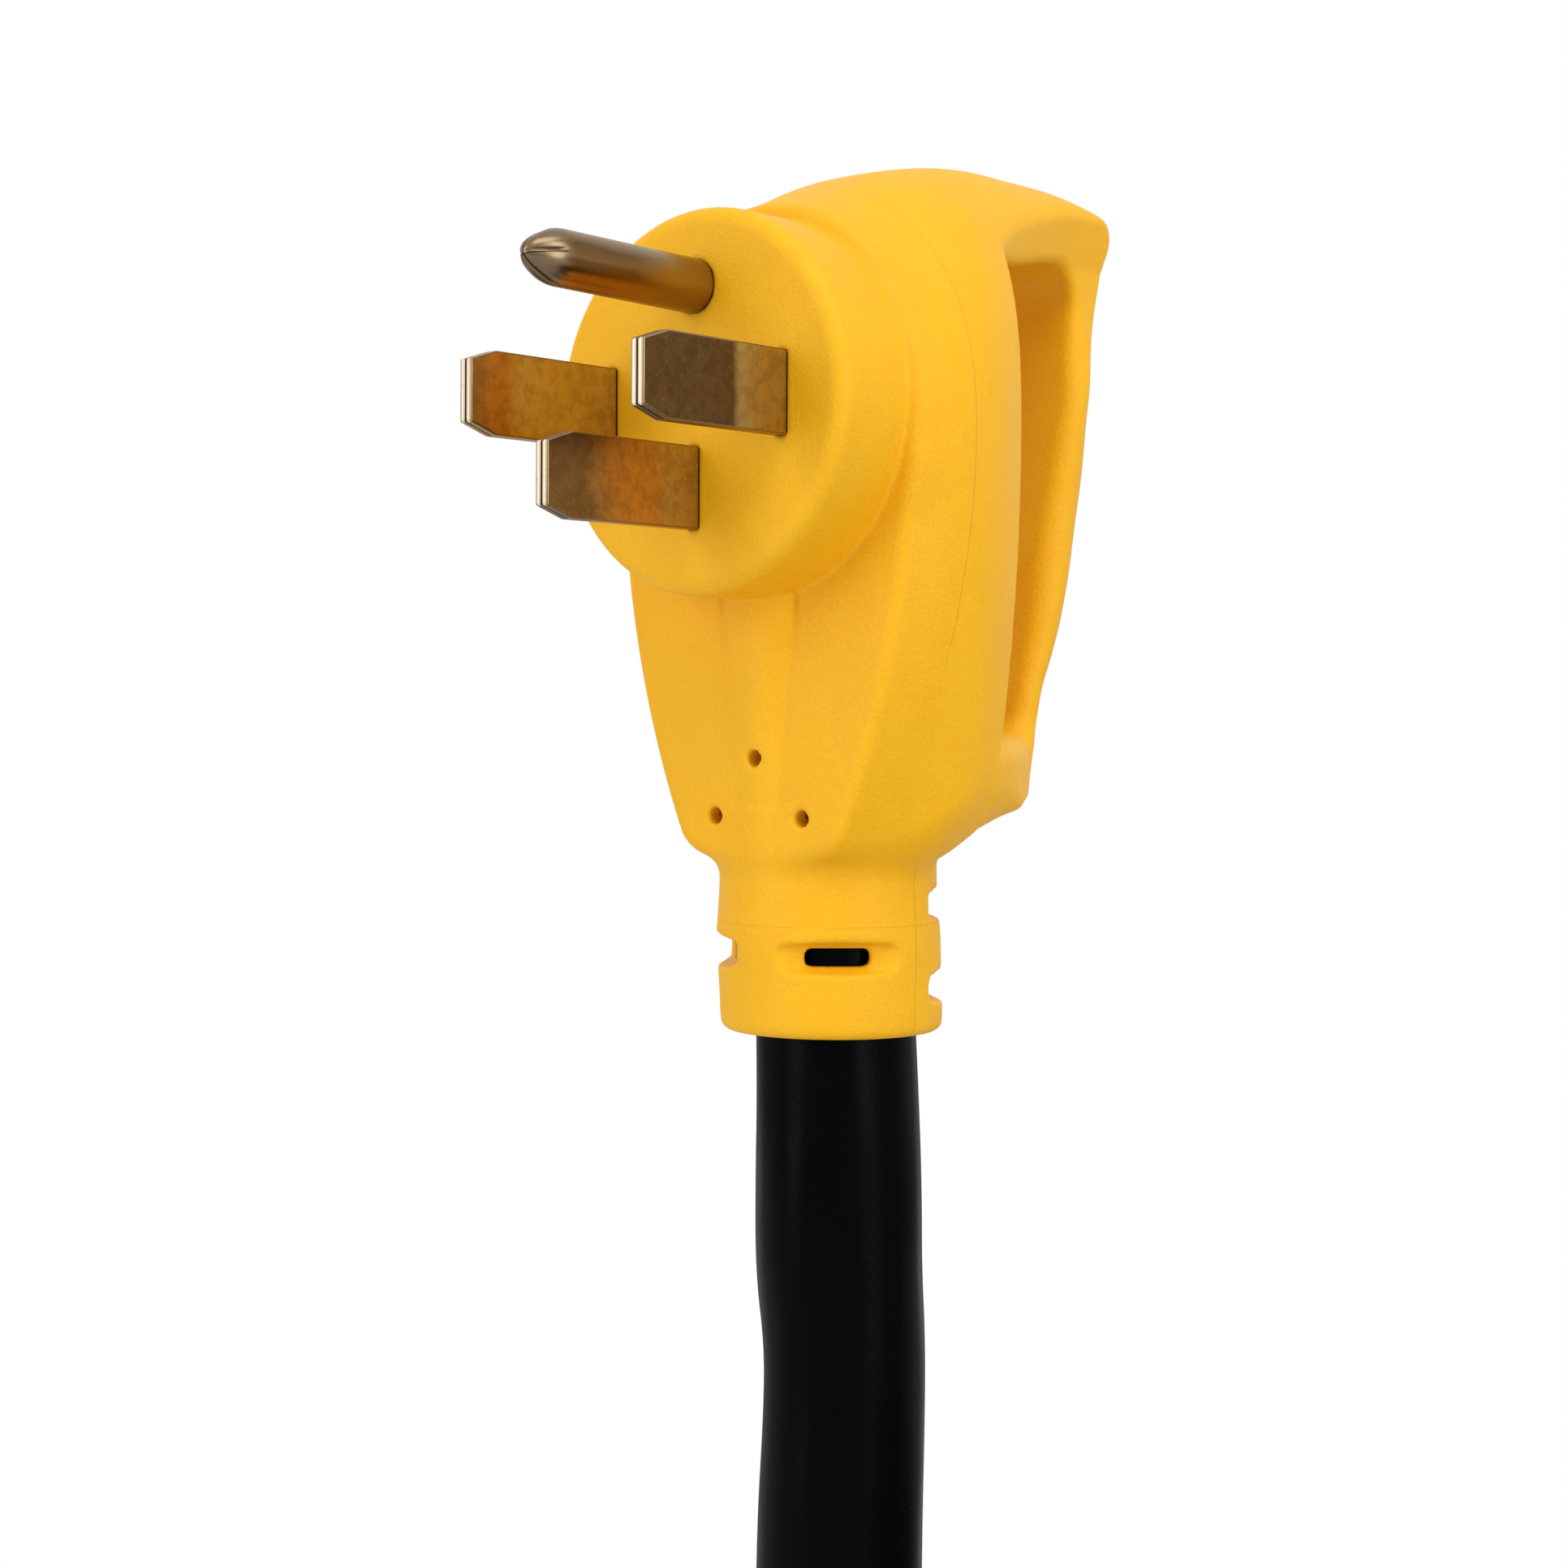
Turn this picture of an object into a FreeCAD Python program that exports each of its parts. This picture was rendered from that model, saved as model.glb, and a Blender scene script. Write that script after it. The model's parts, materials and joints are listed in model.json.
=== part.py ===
import FreeCAD, Part
import Sketcher
import math
import os

# Shore power cord: a moulded right-angle plug with a D handle, a thick cord wound into a coil,
# and a locking connector at the cord's other end.
# Millimetres. The origin is the centre of the plug's flat face, the blades point along -Y, +Z is up.

V = FreeCAD.Vector
doc = FreeCAD.newDocument("ShorePowerCord")
sheet = doc.addObject("Spreadsheet::Sheet", "sizes")


class Size:
    """A number together with the expression that the document binds it with."""

    def __init__(self, value, text=None):
        self.value = float(value)
        self.text = text or repr(float(value))

    @staticmethod
    def of(x):
        return x if isinstance(x, Size) else Size(x)

    def __add__(self, other):
        other = Size.of(other)
        return Size(self.value + other.value, f"({self.text} + {other.text})")

    def __sub__(self, other):
        other = Size.of(other)
        return Size(self.value - other.value, f"({self.text} - {other.text})")

    def __mul__(self, other):
        other = Size.of(other)
        return Size(self.value * other.value, f"({self.text} * {other.text})")

    def __truediv__(self, other):
        other = Size.of(other)
        return Size(self.value / other.value, f"({self.text} / {other.text})")

    def __radd__(self, other):
        return Size.of(other) + self

    def __rsub__(self, other):
        return Size.of(other) - self

    def __rmul__(self, other):
        return Size.of(other) * self

    def __neg__(self):
        return Size(-self.value, f"(0 - {self.text})")

    def __float__(self):
        return self.value


rows = 0


def size(alias, value, note):
    """One row of the sheet: what the size is, and its value in a cell named by its alias."""
    global rows
    rows += 1
    sheet.set(f"A{rows}", note)
    sheet.set(f"B{rows}", str(value))
    sheet.setAlias(f"B{rows}", alias)
    return Size(value, f"sizes.{alias}")


# Sizes of the cord
cord_r = size("cord_r", 13, "radius of the cord")
jacket_top = size("jacket_top", 60, "end of the jacket inside the plug, under the face's centre")
coil_inner = size("coil_inner", 123.6, "radius of the coil's smallest turn")
coil_gap = size("coil_gap", 0.8, "gap from turn to turn and from layer to layer")
cord_fall = size("cord_fall", 331.5, "axis of the coil's lowest layer under the face's centre")
coil_pitch = 2 * cord_r + coil_gap

# Sizes of the plug
nose_depth = size("nose_depth", 14.2, "face to the housing's front panel")
face_round = size("face_round", 2.5, "rounding of the face's edge")
face_wall = size("face_wall", 3, "wall in front of the contact carrier")
carrier_r = size("carrier_r", 22, "radius of the contact carrier")
nose_wall = size("nose_wall", 6, "wall of the round nose outside the carrier")
nose_r = carrier_r + nose_wall
carrier_depth = size("carrier_depth", 12, "thickness of the contact carrier")
blade_w = size("blade_w", 12, "width of a flat blade")
blade_thick = size("blade_thick", 2.4, "thickness of a folded blade")
fold_gap = size("fold_gap", 0.12, "gap between a blade's two layers")
blade_len = size("blade_len", 29, "length of a blade in front of the face")
tip_len = size("tip_len", 4.9, "length of a blade's tapered tip")
tip_w = size("tip_w", 8.8, "width of a blade's end")
line_gap = size("line_gap", 33.2, "distance between the two line blades")
neutral_drop = size("neutral_drop", 12.5, "neutral blade under the line blades")
pin_rise = size("pin_rise", 16.5, "ground pin over the line blades")
pin_r = size("pin_r", 3.95, "radius of the ground pin")
pin_stem = size("pin_stem", 3.45, "radius of the ground pin behind the face")
pin_len = size("pin_len", 34.2, "length of the ground pin in front of the face")
pin_tip = size("pin_tip", 3.4, "rounding of the ground pin's end")
pin_split = size("pin_split", 6, "depth of the split across the pin's end")
split_gap = size("split_gap", 0.3, "width of that split")
face_play = size("face_play", 0.15, "gap round a contact in the face")
slot_play = size("slot_play", 0.02, "play of a contact in its slot")
contact_tail = size("contact_tail", 1.9, "contact behind its carrier")
barrel_r = size("barrel_r", 4.4, "outer radius of a crimp barrel")
barrel_bore = size("barrel_bore", 3, "bore radius of a crimp barrel")
barrel_len = size("barrel_len", 10, "length of a crimp barrel")
barrel_flat = size("barrel_flat", 0.3, "depth of the flat that meets the contact")
barrel_over = size("barrel_over", 2, "barrel over the middle of its contact")
wire_r = size("wire_r", 3.5, "radius of an insulated power conductor")
ground_wire_r = size("ground_wire_r", 2.8, "radius of the insulated ground conductor")
wire_gap = size("wire_gap", 0.3, "gap between a conductor's insulation and its barrel")
core_rear = size("core_rear", 39.4, "back of the plug's core")
housing_rear = size("housing_rear", 42, "back of the plug's housing")
housing_half = size("housing_half", 33, "half of the housing's greatest width")
housing_top = size("housing_top", 40, "top of the housing over the face's centre")
housing_low = size("housing_low", 65.5, "bottom of the housing under the face's centre")
handle_half = size("handle_half", 13.5, "half of the handle's width")
handle_top = size("handle_top", 41.2, "top of the handle")
handle_round = size("handle_round", 6.2, "outer rounding of the handle")
grip_round = size("grip_round", 3, "rounding of the handle on the finger side")
neck_back = size("neck_back", 32.3, "axis of neck and cord behind the face")
neck_wall = size("neck_wall", 3.8, "wall of the neck round the cord")
neck_r = cord_r + neck_wall
neck_low = size("neck_low", 76.4, "end of the neck under the face's centre")
relief_low = size("relief_low", 93.4, "end of the strain relief under the face's centre")
relief_wall = size("relief_wall", 3.4, "wall of the strain relief's end round the cord")
relief_r = cord_r + relief_wall
spigot_wall = size("spigot_wall", 1.6, "wall of the strain relief's spigot in the neck")
spigot_r = cord_r + spigot_wall
spigot_len = size("spigot_len", 10, "length of that spigot")
bore_play = size("bore_play", 0.02, "play of the jacket and the spigot in their bores")
slot_w = size("slot_w", 20, "width of a strain relief slot outside")
slot_high = size("slot_high", 5, "height of a strain relief slot outside")
hole_w = size("hole_w", 10.7, "width of a strain relief slot at the jacket")
hole_high = size("hole_high", 2.9, "height of a strain relief slot at the jacket")
ridge_proud = size("ridge_proud", 0.8, "height of the ridge on the front panel")
mould_hole_r = size("mould_hole_r", 1.05, "radius of the three moulding holes")
mould_hole_deep = size("mould_hole_deep", 2.5, "depth of the moulding holes")

# Sizes of the connector
shell_bore = size("shell_bore", 27, "radius of the shell's inside")
shell_wall = size("shell_wall", 3.5, "wall of the sleeve that the lock ring turns on")
sleeve_r = shell_bore + shell_wall
shell_len = size("shell_len", 95, "length of the connector's shell")
tail_wall = size("tail_wall", 5, "wall of the shell's tail round the cord")
shell_tail_r = cord_r + tail_wall
flange_step = size("flange_step", 2.5, "height of the flange in front of the lock ring")
flange_r = sleeve_r + flange_step
flange_thick = size("flange_thick", 7.7, "thickness of that flange")
boot_len = size("boot_len", 24, "length of the connector's strain relief")
boot_wall = size("boot_wall", 3.5, "wall of the connector's strain relief at its end")
boot_r = cord_r + boot_wall
insert_depth = size("insert_depth", 14, "thickness of the connector's face")
socket_len = size("socket_len", 24, "length of a contact sleeve")
socket_ring_r = size("socket_ring_r", 16, "radius of the ring of curved slots")
socket_gap = size("socket_gap", 3.2, "width of a curved slot")
socket_wall = size("socket_wall", 1.1, "wall of a contact sleeve")
ground_hole_r = size("ground_hole_r", 4.2, "radius of the central ground hole")
ring_play = size("ring_play", 0.3, "play of the lock ring on the sleeve")
ring_front = size("ring_front", 12, "lock ring in front of the connector's face")
ring_web = size("ring_web", 20, "length of the lock ring's bearing")
skirt_play = size("skirt_play", 1.6, "gap between the flange and the ring's threaded skirt")
skirt_r = flange_r + skirt_play
ring_wall = size("ring_wall", 3.9, "wall of the ring's skirt")
ring_r = skirt_r + ring_wall
thread_deep = size("thread_deep", 0.8, "depth of the thread's grooves")
clip_thick = size("clip_thick", 1.6, "thickness of the clip behind the lock ring")
clip_deep = size("clip_deep", 1.2, "depth of the clip's groove")
clip_high = size("clip_high", 2, "height of the clip over the sleeve")
seal_thick = size("seal_thick", 2, "thickness of the face seal")
doc.recompute()

contact_back = face_wall + carrier_depth + contact_tail
carrier_back = face_wall + carrier_depth
barrel_back = contact_back + barrel_r - barrel_flat

subparts = {}


def keep(obj, label):
    obj.Label = label
    subparts[label] = obj
    return obj


def bind(obj, **values):
    """Set properties of an object by expressions; a double underscore stands for a dot."""
    for name, value in values.items():
        obj.setExpression(name.replace("__", "."), Size.of(value).text)
    return obj


def new_body(name, piece):
    body = doc.addObject("PartDesign::Body", name)
    return keep(body, name) if piece else body


def sketch_on(body, role, name, offset=None):
    sketch = body.newObject("Sketcher::SketchObject", name)
    plane = [o for o in body.Origin.OriginFeatures if o.Role == role][0]
    sketch.AttachmentSupport = [(plane, "")]
    sketch.MapMode = "FlatFace"
    if offset is not None:
        sketch.AttachmentOffset = FreeCAD.Placement(V(0, 0, float(offset)), FreeCAD.Rotation())
        sketch.setExpression("AttachmentOffset.Base.z", Size.of(offset).text)
    return sketch


def hold(sketch, geo, end, u, v):
    """Hold one point of the sketch at (u, v), each bound to the sheet."""
    for kind, x, axis in (("DistanceX", Size.of(u), -2), ("DistanceY", Size.of(v), -1)):
        if x.value == 0:
            sketch.addConstraint(Sketcher.Constraint("PointOnObject", geo, end, axis))
        else:
            n = sketch.addConstraint(Sketcher.Constraint(kind, -1, 1, geo, end, x.value))
            sketch.setExpression(f"Constraints[{n}]", x.text)


def polygon(sketch, points):
    """A closed outline of straight edges, every corner bound to the sheet."""
    first = sketch.GeometryCount
    corners = [V(float(u), float(v), 0) for u, v in points]
    for a, b in zip(corners, corners[1:] + corners[:1]):
        sketch.addGeometry(Part.LineSegment(a, b), False)
    count = len(corners)
    for i in range(count):
        following = first + (i + 1) % count
        sketch.addConstraint(Sketcher.Constraint("Coincident", first + i, 2, following, 1))
    for i, (u, v) in enumerate(points):
        hold(sketch, first + i, 1, u, v)


def circle(sketch, u, v, radius):
    geo = sketch.addGeometry(Part.Circle(V(float(u), float(v), 0), V(0, 0, 1), float(radius)), False)
    hold(sketch, geo, 3, u, v)
    n = sketch.addConstraint(Sketcher.Constraint("Radius", geo, float(radius)))
    sketch.setExpression(f"Constraints[{n}]", Size.of(radius).text)


def pad(body, sketch, length, symmetric=False, reverse=False):
    feature = body.newObject("PartDesign::Pad", "Pad")
    feature.Profile = sketch
    feature.SideType = "Symmetric" if symmetric else "One side"
    feature.Reversed = reverse
    return bind(feature, Length=length)


def pocket(body, sketch, length, symmetric=False, reverse=False):
    """Cut a sketch out of the body, and stop if nothing was cut."""
    doc.recompute()
    before = body.Shape.Volume
    feature = body.newObject("PartDesign::Pocket", "Pocket")
    feature.Profile = sketch
    feature.SideType = "Symmetric" if symmetric else "One side"
    feature.Reversed = reverse
    bind(feature, Length=length)
    doc.recompute()
    if body.Shape.Volume > before - 0.01:
        raise ValueError(f"{body.Label}: the pocket on {sketch.Name} cuts nothing")
    return feature


def turned(name, points, piece=True):
    """A body turned about its own Z axis from an outline of (radius, height)."""
    body = new_body(name, piece)
    sketch = sketch_on(body, "XZ_Plane", "Outline")
    polygon(sketch, points)
    feature = body.newObject("PartDesign::Revolution", "Revolution")
    feature.Profile = sketch
    feature.ReferenceAxis = (sketch, ["V_Axis"])
    feature.Angle = 360
    return body


def fillet(body, radius, test):
    """Round the edges of the body's last feature that pass a test."""
    doc.recompute()
    base = body.Tip
    names = [f"Edge{i + 1}" for i, edge in enumerate(base.Shape.Edges) if test(edge)]
    if not names:
        raise ValueError(f"{body.Label}: no edge to round")
    feature = body.newObject("PartDesign::Fillet", "Fillet")
    feature.Base = (base, names)
    return bind(feature, Radius=radius)


def primitive(kind, name, base=(0, 0, 0), turn=None, **values):
    """A Part primitive whose sizes and place are bound to the sheet."""
    obj = bind(doc.addObject(kind, name), **values)
    if turn is not None:
        obj.Placement = FreeCAD.Placement(V(0, 0, 0), turn)
    return bind(obj, Placement__Base__x=base[0], Placement__Base__y=base[1], Placement__Base__z=base[2])


def fused(name, parts):
    group = doc.addObject("Part::MultiFuse", name)
    group.Shapes = parts
    return group


def cut(name, base, tools):
    feature = doc.addObject("Part::Cut", name)
    feature.Base = base
    feature.Tool = tools[0] if len(tools) == 1 else fused(name + "_tools", tools)
    return feature


def solid_feature(label, shape, place=None):
    obj = keep(doc.addObject("Part::Feature", label), label)
    obj.Shape = shape
    if place is not None:
        obj.Placement = place
    return obj


ALONG_Y = FreeCAD.Rotation(V(1, 0, 0), -90)
FORWARD = FreeCAD.Rotation(V(1, 0, 0), 90)


# Tubes: straight runs joined by tangent arcs
def rounded_path(points):
    """The edges of a route with each corner as round as its two runs allow, and the radii."""
    edges, radii = [], []
    last = points[0]
    for before, here, after in zip(points, points[1:], points[2:]):
        back, ahead = before - here, after - here
        turn = math.pi - back.getAngle(ahead)
        reach = 0.45 * min(back.Length, ahead.Length)
        radius = reach / math.tan(turn / 2)
        start = here + back.normalize() * reach
        end = here + ahead.normalize() * reach
        inward = ((start + end) * 0.5 - here).normalize()
        middle = here + inward * (radius / math.cos(turn / 2) - radius)
        edges.append(Part.LineSegment(last, start).toShape())
        edges.append(Part.Arc(start, middle, end).toShape())
        radii.append(radius)
        last = end
    edges.append(Part.LineSegment(last, points[-1]).toShape())
    return edges, radii


def sweep(name, edges, radius, heading):
    """A round solid along a path, and the path's length; its volume must be section times length."""
    wire = Part.Wire(edges)
    start = edges[0].valueAt(edges[0].FirstParameter)
    ring = Part.Wire(Part.Circle(start, heading, float(radius)).toShape())
    solid = wire.makePipeShell([ring], True, False)
    plain = math.pi * float(radius) ** 2 * wire.Length
    if abs(solid.Volume / plain - 1) > 0.01:
        raise ValueError(f"{name}: volume {solid.Volume:.0f}, section times length {plain:.0f}")
    return solid, wire.Length


def tube(name, points, radius):
    edges, radii = rounded_path(points)
    solid, length = sweep(name, edges, radius, points[1] - points[0])
    return solid, length, radii


# Contacts of the plug
def blade(name, x, z):
    """Folded sheet: two layers joined along the upper edge and behind the face, with a tapered tip."""
    body = new_body(name, True)
    outline = sketch_on(body, "YZ_Plane", "Outline")
    polygon(outline, [(contact_back, z - blade_w / 2), (contact_back, z + blade_w / 2),
                      (tip_len - blade_len, z + blade_w / 2), (-blade_len, z + tip_w / 2),
                      (-blade_len, z - tip_w / 2), (tip_len - blade_len, z - blade_w / 2)])
    pad(body, outline, blade_thick, True)
    fold = sketch_on(body, "YZ_Plane", "Fold")
    fold_top = z + tip_w / 2 - blade_thick / 2
    polygon(fold, [(-blade_len - 1, z - blade_w), (-blade_thick / 2, z - blade_w),
                   (-blade_thick / 2, fold_top), (-blade_len - 1, fold_top)])
    pocket(body, fold, fold_gap, True)
    return bind(body, Placement__Base__x=x)


level = Size(0)
contact_places = {"x": (line_gap / 2, level), "y": (-line_gap / 2, level), "neutral": (level, -neutral_drop)}
for name, (x, z) in contact_places.items():
    blade("blade_" + name, x, z)

pin = turned("ground_pin", [(0, -contact_back), (pin_stem, -contact_back), (pin_stem, level), (pin_r, level),
                            (pin_r, pin_len), (0, pin_len)])
fillet(pin, pin_tip, lambda e: e.BoundBox.ZMin > float(pin_len) - 0.01 and e.BoundBox.XLength > float(pin_r))
for role in ("XZ_Plane", "YZ_Plane"):
    split = sketch_on(pin, role, "Split")
    polygon(split, [(-pin_r - 1, pin_len - pin_split), (pin_r + 1, pin_len - pin_split),
                    (pin_r + 1, pin_len + 1), (-pin_r - 1, pin_len + 1)])
    pocket(pin, split, split_gap, True)
pin.Placement = FreeCAD.Placement(V(0, 0, float(pin_rise)), FORWARD)
bind(pin, Placement__Base__z=pin_rise)

# Contact carrier: a disc with a slot for each contact
carrier = new_body("contact_carrier", True)
disc = sketch_on(carrier, "XZ_Plane", "Disc", -face_wall)
circle(disc, 0, 0, carrier_r)
half_w, half_t = blade_w / 2 + slot_play, blade_thick / 2 + slot_play
for x, z in contact_places.values():
    polygon(disc, [(x - half_t, z - half_w), (x + half_t, z - half_w), (x + half_t, z + half_w),
                   (x - half_t, z + half_w)])
circle(disc, 0, pin_rise, pin_stem + slot_play)
pad(carrier, disc, carrier_depth, reverse=True)

# Crimp barrels behind the contacts, each with a flat that meets its contact
barrel_tops = {"x": (line_gap / 2, level + barrel_over), "y": (-line_gap / 2, level + barrel_over),
               "neutral": (level, -neutral_drop + 2 * barrel_over), "ground": (level, pin_rise + barrel_over)}
for name, (x, top) in barrel_tops.items():
    barrel = turned("crimp_" + name, [(barrel_bore, 0), (barrel_r, 0), (barrel_r, barrel_len),
                                      (barrel_bore, barrel_len)])
    flat = sketch_on(barrel, "XY_Plane", "Flat")
    seat = barrel_flat - barrel_r
    polygon(flat, [(-barrel_r, seat), (barrel_r, seat), (barrel_r, seat - barrel_r),
                   (-barrel_r, seat - barrel_r)])
    pocket(barrel, flat, barrel_len, reverse=True)
    bind(barrel, Placement__Base__x=x, Placement__Base__y=barrel_back, Placement__Base__z=top - barrel_len)

# Conductors, from blind holes in the jacket's end up to their barrels
wire_spots = {"x": (5, -1.5), "y": (-5, -1.5), "neutral": (0, -7.8), "ground": (0, 3.9)}
hole_deep = 6


def conductor_r(name):
    return ground_wire_r if name == "ground" else wire_r


def conductor_route(name):
    x, top = (float(n) for n in barrel_tops[name])
    dx, dy = wire_spots[name]
    y, back, low = float(neck_back) + dy, float(barrel_back), -float(jacket_top)
    end = top - float(barrel_len) - float(wire_gap)
    route = [V(dx, y, low - hole_deep), V(dx, y, low + 14)]
    if name == "ground":
        route += [V(0, back + 11, low + 30), V(0, back + 10, end - 16.2), V(0, back, end - 4.2)]
    else:
        route += [V(x, back, end - 15.5)]
    return route + [V(x, back, end)]


for name in barrel_tops:
    route = conductor_route(name)
    solid_feature("wire_" + name, tube("wire_" + name, route, conductor_r(name))[0])
    bare = doc.addObject("Part::Cylinder", "strands_" + name)
    x, top = barrel_tops[name]
    bind(keep(bare, "strands_" + name), Radius=barrel_bore - bore_play, Height=barrel_len + wire_gap - 1,
         Placement__Base__x=x, Placement__Base__y=barrel_back, Placement__Base__z=top - barrel_len - wire_gap)

# End of the jacket inside the plug
jacket = primitive("Part::Cylinder", "jacket", (0, neck_back, -relief_low), Radius=cord_r,
                   Height=relief_low - jacket_top)
wire_holes = [primitive("Part::Cylinder", "wire_hole_" + name,
                        (dx, neck_back + dy, -jacket_top - hole_deep - 0.1),
                        Radius=conductor_r(name) + bore_play, Height=hole_deep + 1)
              for name, (dx, dy) in wire_spots.items()]
keep(cut("cord_entry", jacket, wire_holes), "cord_entry")

# Core of the plug: an inner moulding round contacts, barrels and conductors
core_blocks = [
    primitive("Part::Box", "core_top", (-16, carrier_back, 7), Length=32, Width=core_rear - carrier_back,
              Height=pin_rise + pin_r + 0.6 - 7),
    primitive("Part::Box", "core_main", (-22, carrier_back, -30), Length=44, Width=core_rear - carrier_back,
              Height=38),
    primitive("Part::Box", "core_waist", (-17.5, carrier_back, -46), Length=35, Width=core_rear - carrier_back,
              Height=17),
    primitive("Part::Box", "core_foot", (-13.5, 17, -jacket_top), Length=27, Width=core_rear - 17,
              Height=jacket_top - 45)]
core_blank = fused("core_blank", core_blocks)
doc.recompute()


def plug_core_shape():
    """The core's blank without the room of barrels, conductors and contact tails."""
    play = float(bore_play)
    y0, depth = float(carrier_back) - 0.5, float(contact_tail) + 1
    room = []
    for name, (x, top) in barrel_tops.items():
        room.append(tube(name, conductor_route(name), conductor_r(name) + play)[0])
        low = V(float(x), float(barrel_back), float(top - barrel_len - wire_gap))
        room.append(Part.makeCylinder(float(barrel_r) + play, float(barrel_len + 2 * wire_gap), low))
    for x, z in contact_places.values():
        corner = V(float(x - half_t), y0, float(z - half_w))
        room.append(Part.makeBox(float(2 * half_t), depth, float(2 * half_w), corner))
    room.append(Part.makeCylinder(float(pin_stem + slot_play), depth, V(0, y0, float(pin_rise)), V(0, 1, 0)))
    return core_blank.Shape.cut(room)


solid_feature("plug_core", plug_core_shape())


# Outer shape of the plug
def outline(y, half, top, corner):
    """One cross-section of the housing: a domed top, bowed sides and a flat bottom with round corners."""
    middle, low, side_r = -4.0, float(housing_low), 147.0
    reach = side_r - corner
    tilt = math.asin((middle + low - corner) / reach)
    axis_x = half - side_r
    foot = V(axis_x + reach * math.cos(tilt), y, -low)
    side_low = V(axis_x + side_r * math.cos(tilt), y, middle - side_r * math.sin(tilt))
    side_mid = V(axis_x + side_r * math.cos(tilt / 2), y, middle - side_r * math.sin(tilt / 2))
    between = (tilt + math.pi / 2) / 2
    corner_mid = V(foot.x + corner * math.cos(between), y, corner - low - corner * math.sin(between))
    rise = top - middle
    quarter = [V(half * math.sin(math.pi * i / 12), y, middle + rise * math.cos(math.pi * i / 12))
               for i in range(7)]
    dome = Part.BSplineCurve()
    dome.interpolate([V(-p.x, p.y, p.z) for p in reversed(quarter)] + quarter[1:],
                     InitialTangent=V(0, 0, 1), FinalTangent=V(0, 0, -1))

    def other(p):
        return V(-p.x, p.y, p.z)

    wide = V(half, y, middle)
    return Part.Wire([dome.toShape(), Part.Arc(wide, side_mid, side_low).toShape(),
                      Part.Arc(side_low, corner_mid, foot).toShape(),
                      Part.LineSegment(foot, other(foot)).toShape(),
                      Part.Arc(other(foot), other(corner_mid), other(side_low)).toShape(),
                      Part.Arc(other(side_low), other(side_mid), other(wide)).toShape()])


def rounded_block(y, half, low, high, corner):
    """A rounded rectangle across the handle, at a distance behind the face."""
    x, k = half - corner, corner * (1 - math.sqrt(0.5))
    arcs = [(V(half, y, high - corner), V(half - k, y, high - k), V(x, y, high)),
            (V(-x, y, high), V(k - half, y, high - k), V(-half, y, high - corner)),
            (V(-half, y, low + corner), V(k - half, y, low + k), V(-x, y, low)),
            (V(x, y, low), V(half - k, y, low + k), V(half, y, low + corner))]
    edges = []
    for arc, following in zip(arcs, arcs[1:] + arcs[:1]):
        edges += [Part.Arc(*arc).toShape(), Part.LineSegment(arc[2], following[0]).toShape()]
    return Part.Wire(edges)


def loft(name, wires):
    obj = doc.addObject("Part::Feature", name)
    obj.Shape = Part.makeLoft(wires, True, False)
    return obj


half, top, rear = float(housing_half), float(housing_top), float(housing_rear)
front = float(nose_depth)
housing = loft("housing", [outline(front, half - 5, top - 10, 6.5), outline(front + 2.5, half - 3, top - 9, 7),
                           outline(front + 9.8, half - 0.4, top - 6.2, 7),
                           outline(front + 18.8, half - 1.2, top - 2.7, 7),
                           outline(rear, half - 5, top - 0.9, 6)])
hold_half, hold_top = float(handle_half), float(handle_top)
bridge_root = loft("bridge_root", [rounded_block(rear - 7, 23.5, 22.4, hold_top - 6.4, 6),
                                   rounded_block(rear + 6, 18, 23, hold_top - 3.2, 6.5),
                                   rounded_block(rear + 16, hold_half - 0.1, 24.6, hold_top - 1.6, 6)])
low = float(housing_low)
arm_root = loft("arm_root", [rounded_block(rear - 7, 19, 0.5 - low, 19.5 - low, 5),
                             rounded_block(rear + 1, 16.5, -low, 19 - low, 5),
                             rounded_block(rear + 10, hold_half - 0.1, 2.1 - low, 18.5 - low, 5)])

handle = new_body("handle", False)
grip = sketch_on(handle, "YZ_Plane", "Grip")
polygon(grip, [(housing_rear - 6, handle_top - 3.4), (housing_rear + 20, handle_top),
               (housing_rear + 38, handle_top - 0.9), (housing_rear + 49.4, handle_top - 4.5),
               (housing_rear + 43, 0),
               (housing_rear + 35.2, 32.5 - housing_low),
               (housing_rear + 25.4, 6.1 - housing_low), (housing_rear - 6, -housing_low - 2.4)])
polygon(grip, [(housing_rear - 4, 22.6), (housing_rear + 17, 24), (housing_rear + 34.5, 28.5),
               (housing_rear + 31, 5), (housing_rear + 25, 34.5 - housing_low),
               (housing_rear + 19.5, 19.5 - housing_low),
               (housing_rear - 4, 19 - housing_low)])
pad(handle, grip, 2 * handle_half, True)


def across(edge):
    """Whether an edge runs along X."""
    return edge.BoundBox.XLength > 1.9 * hold_half


def beside(*spots):
    """Edges along X near any of the given (y, z) places."""
    def test(edge):
        middle = edge.BoundBox.Center
        return across(edge) and any(abs(middle.y - y) < 1.5 and abs(middle.z - z) < 1.5 for y, z in spots)
    return test


fillet(handle, 7, beside((rear + 49.4, hold_top - 4.5)))
fillet(handle, 6, beside((rear + 25.4, 6.1 - low), (rear + 34.5, 28.5), (rear + 19.5, 19.5 - low)))
fillet(handle, 90, beside((rear + 43, 0), (rear + 35.2, 32.5 - low), (rear + 31, 5), (rear + 25, 34.5 - low)))


def side_rim(outside):
    """Edges round the handle's two side faces: the outer ones, or those of the finger gap."""
    doc.recompute()
    found = []
    for face in handle.Tip.Shape.Faces:
        if face.BoundBox.XLength < 0.01:
            for wire in face.Wires:
                if wire.isSame(face.OuterWire) == outside:
                    found += [e for e in wire.Edges if e.BoundBox.YMax > rear - 3.5]
    return lambda edge: any(edge.isSame(e) for e in found)


fillet(handle, handle_round, side_rim(True))
fillet(handle, grip_round, side_rim(False))

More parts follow.
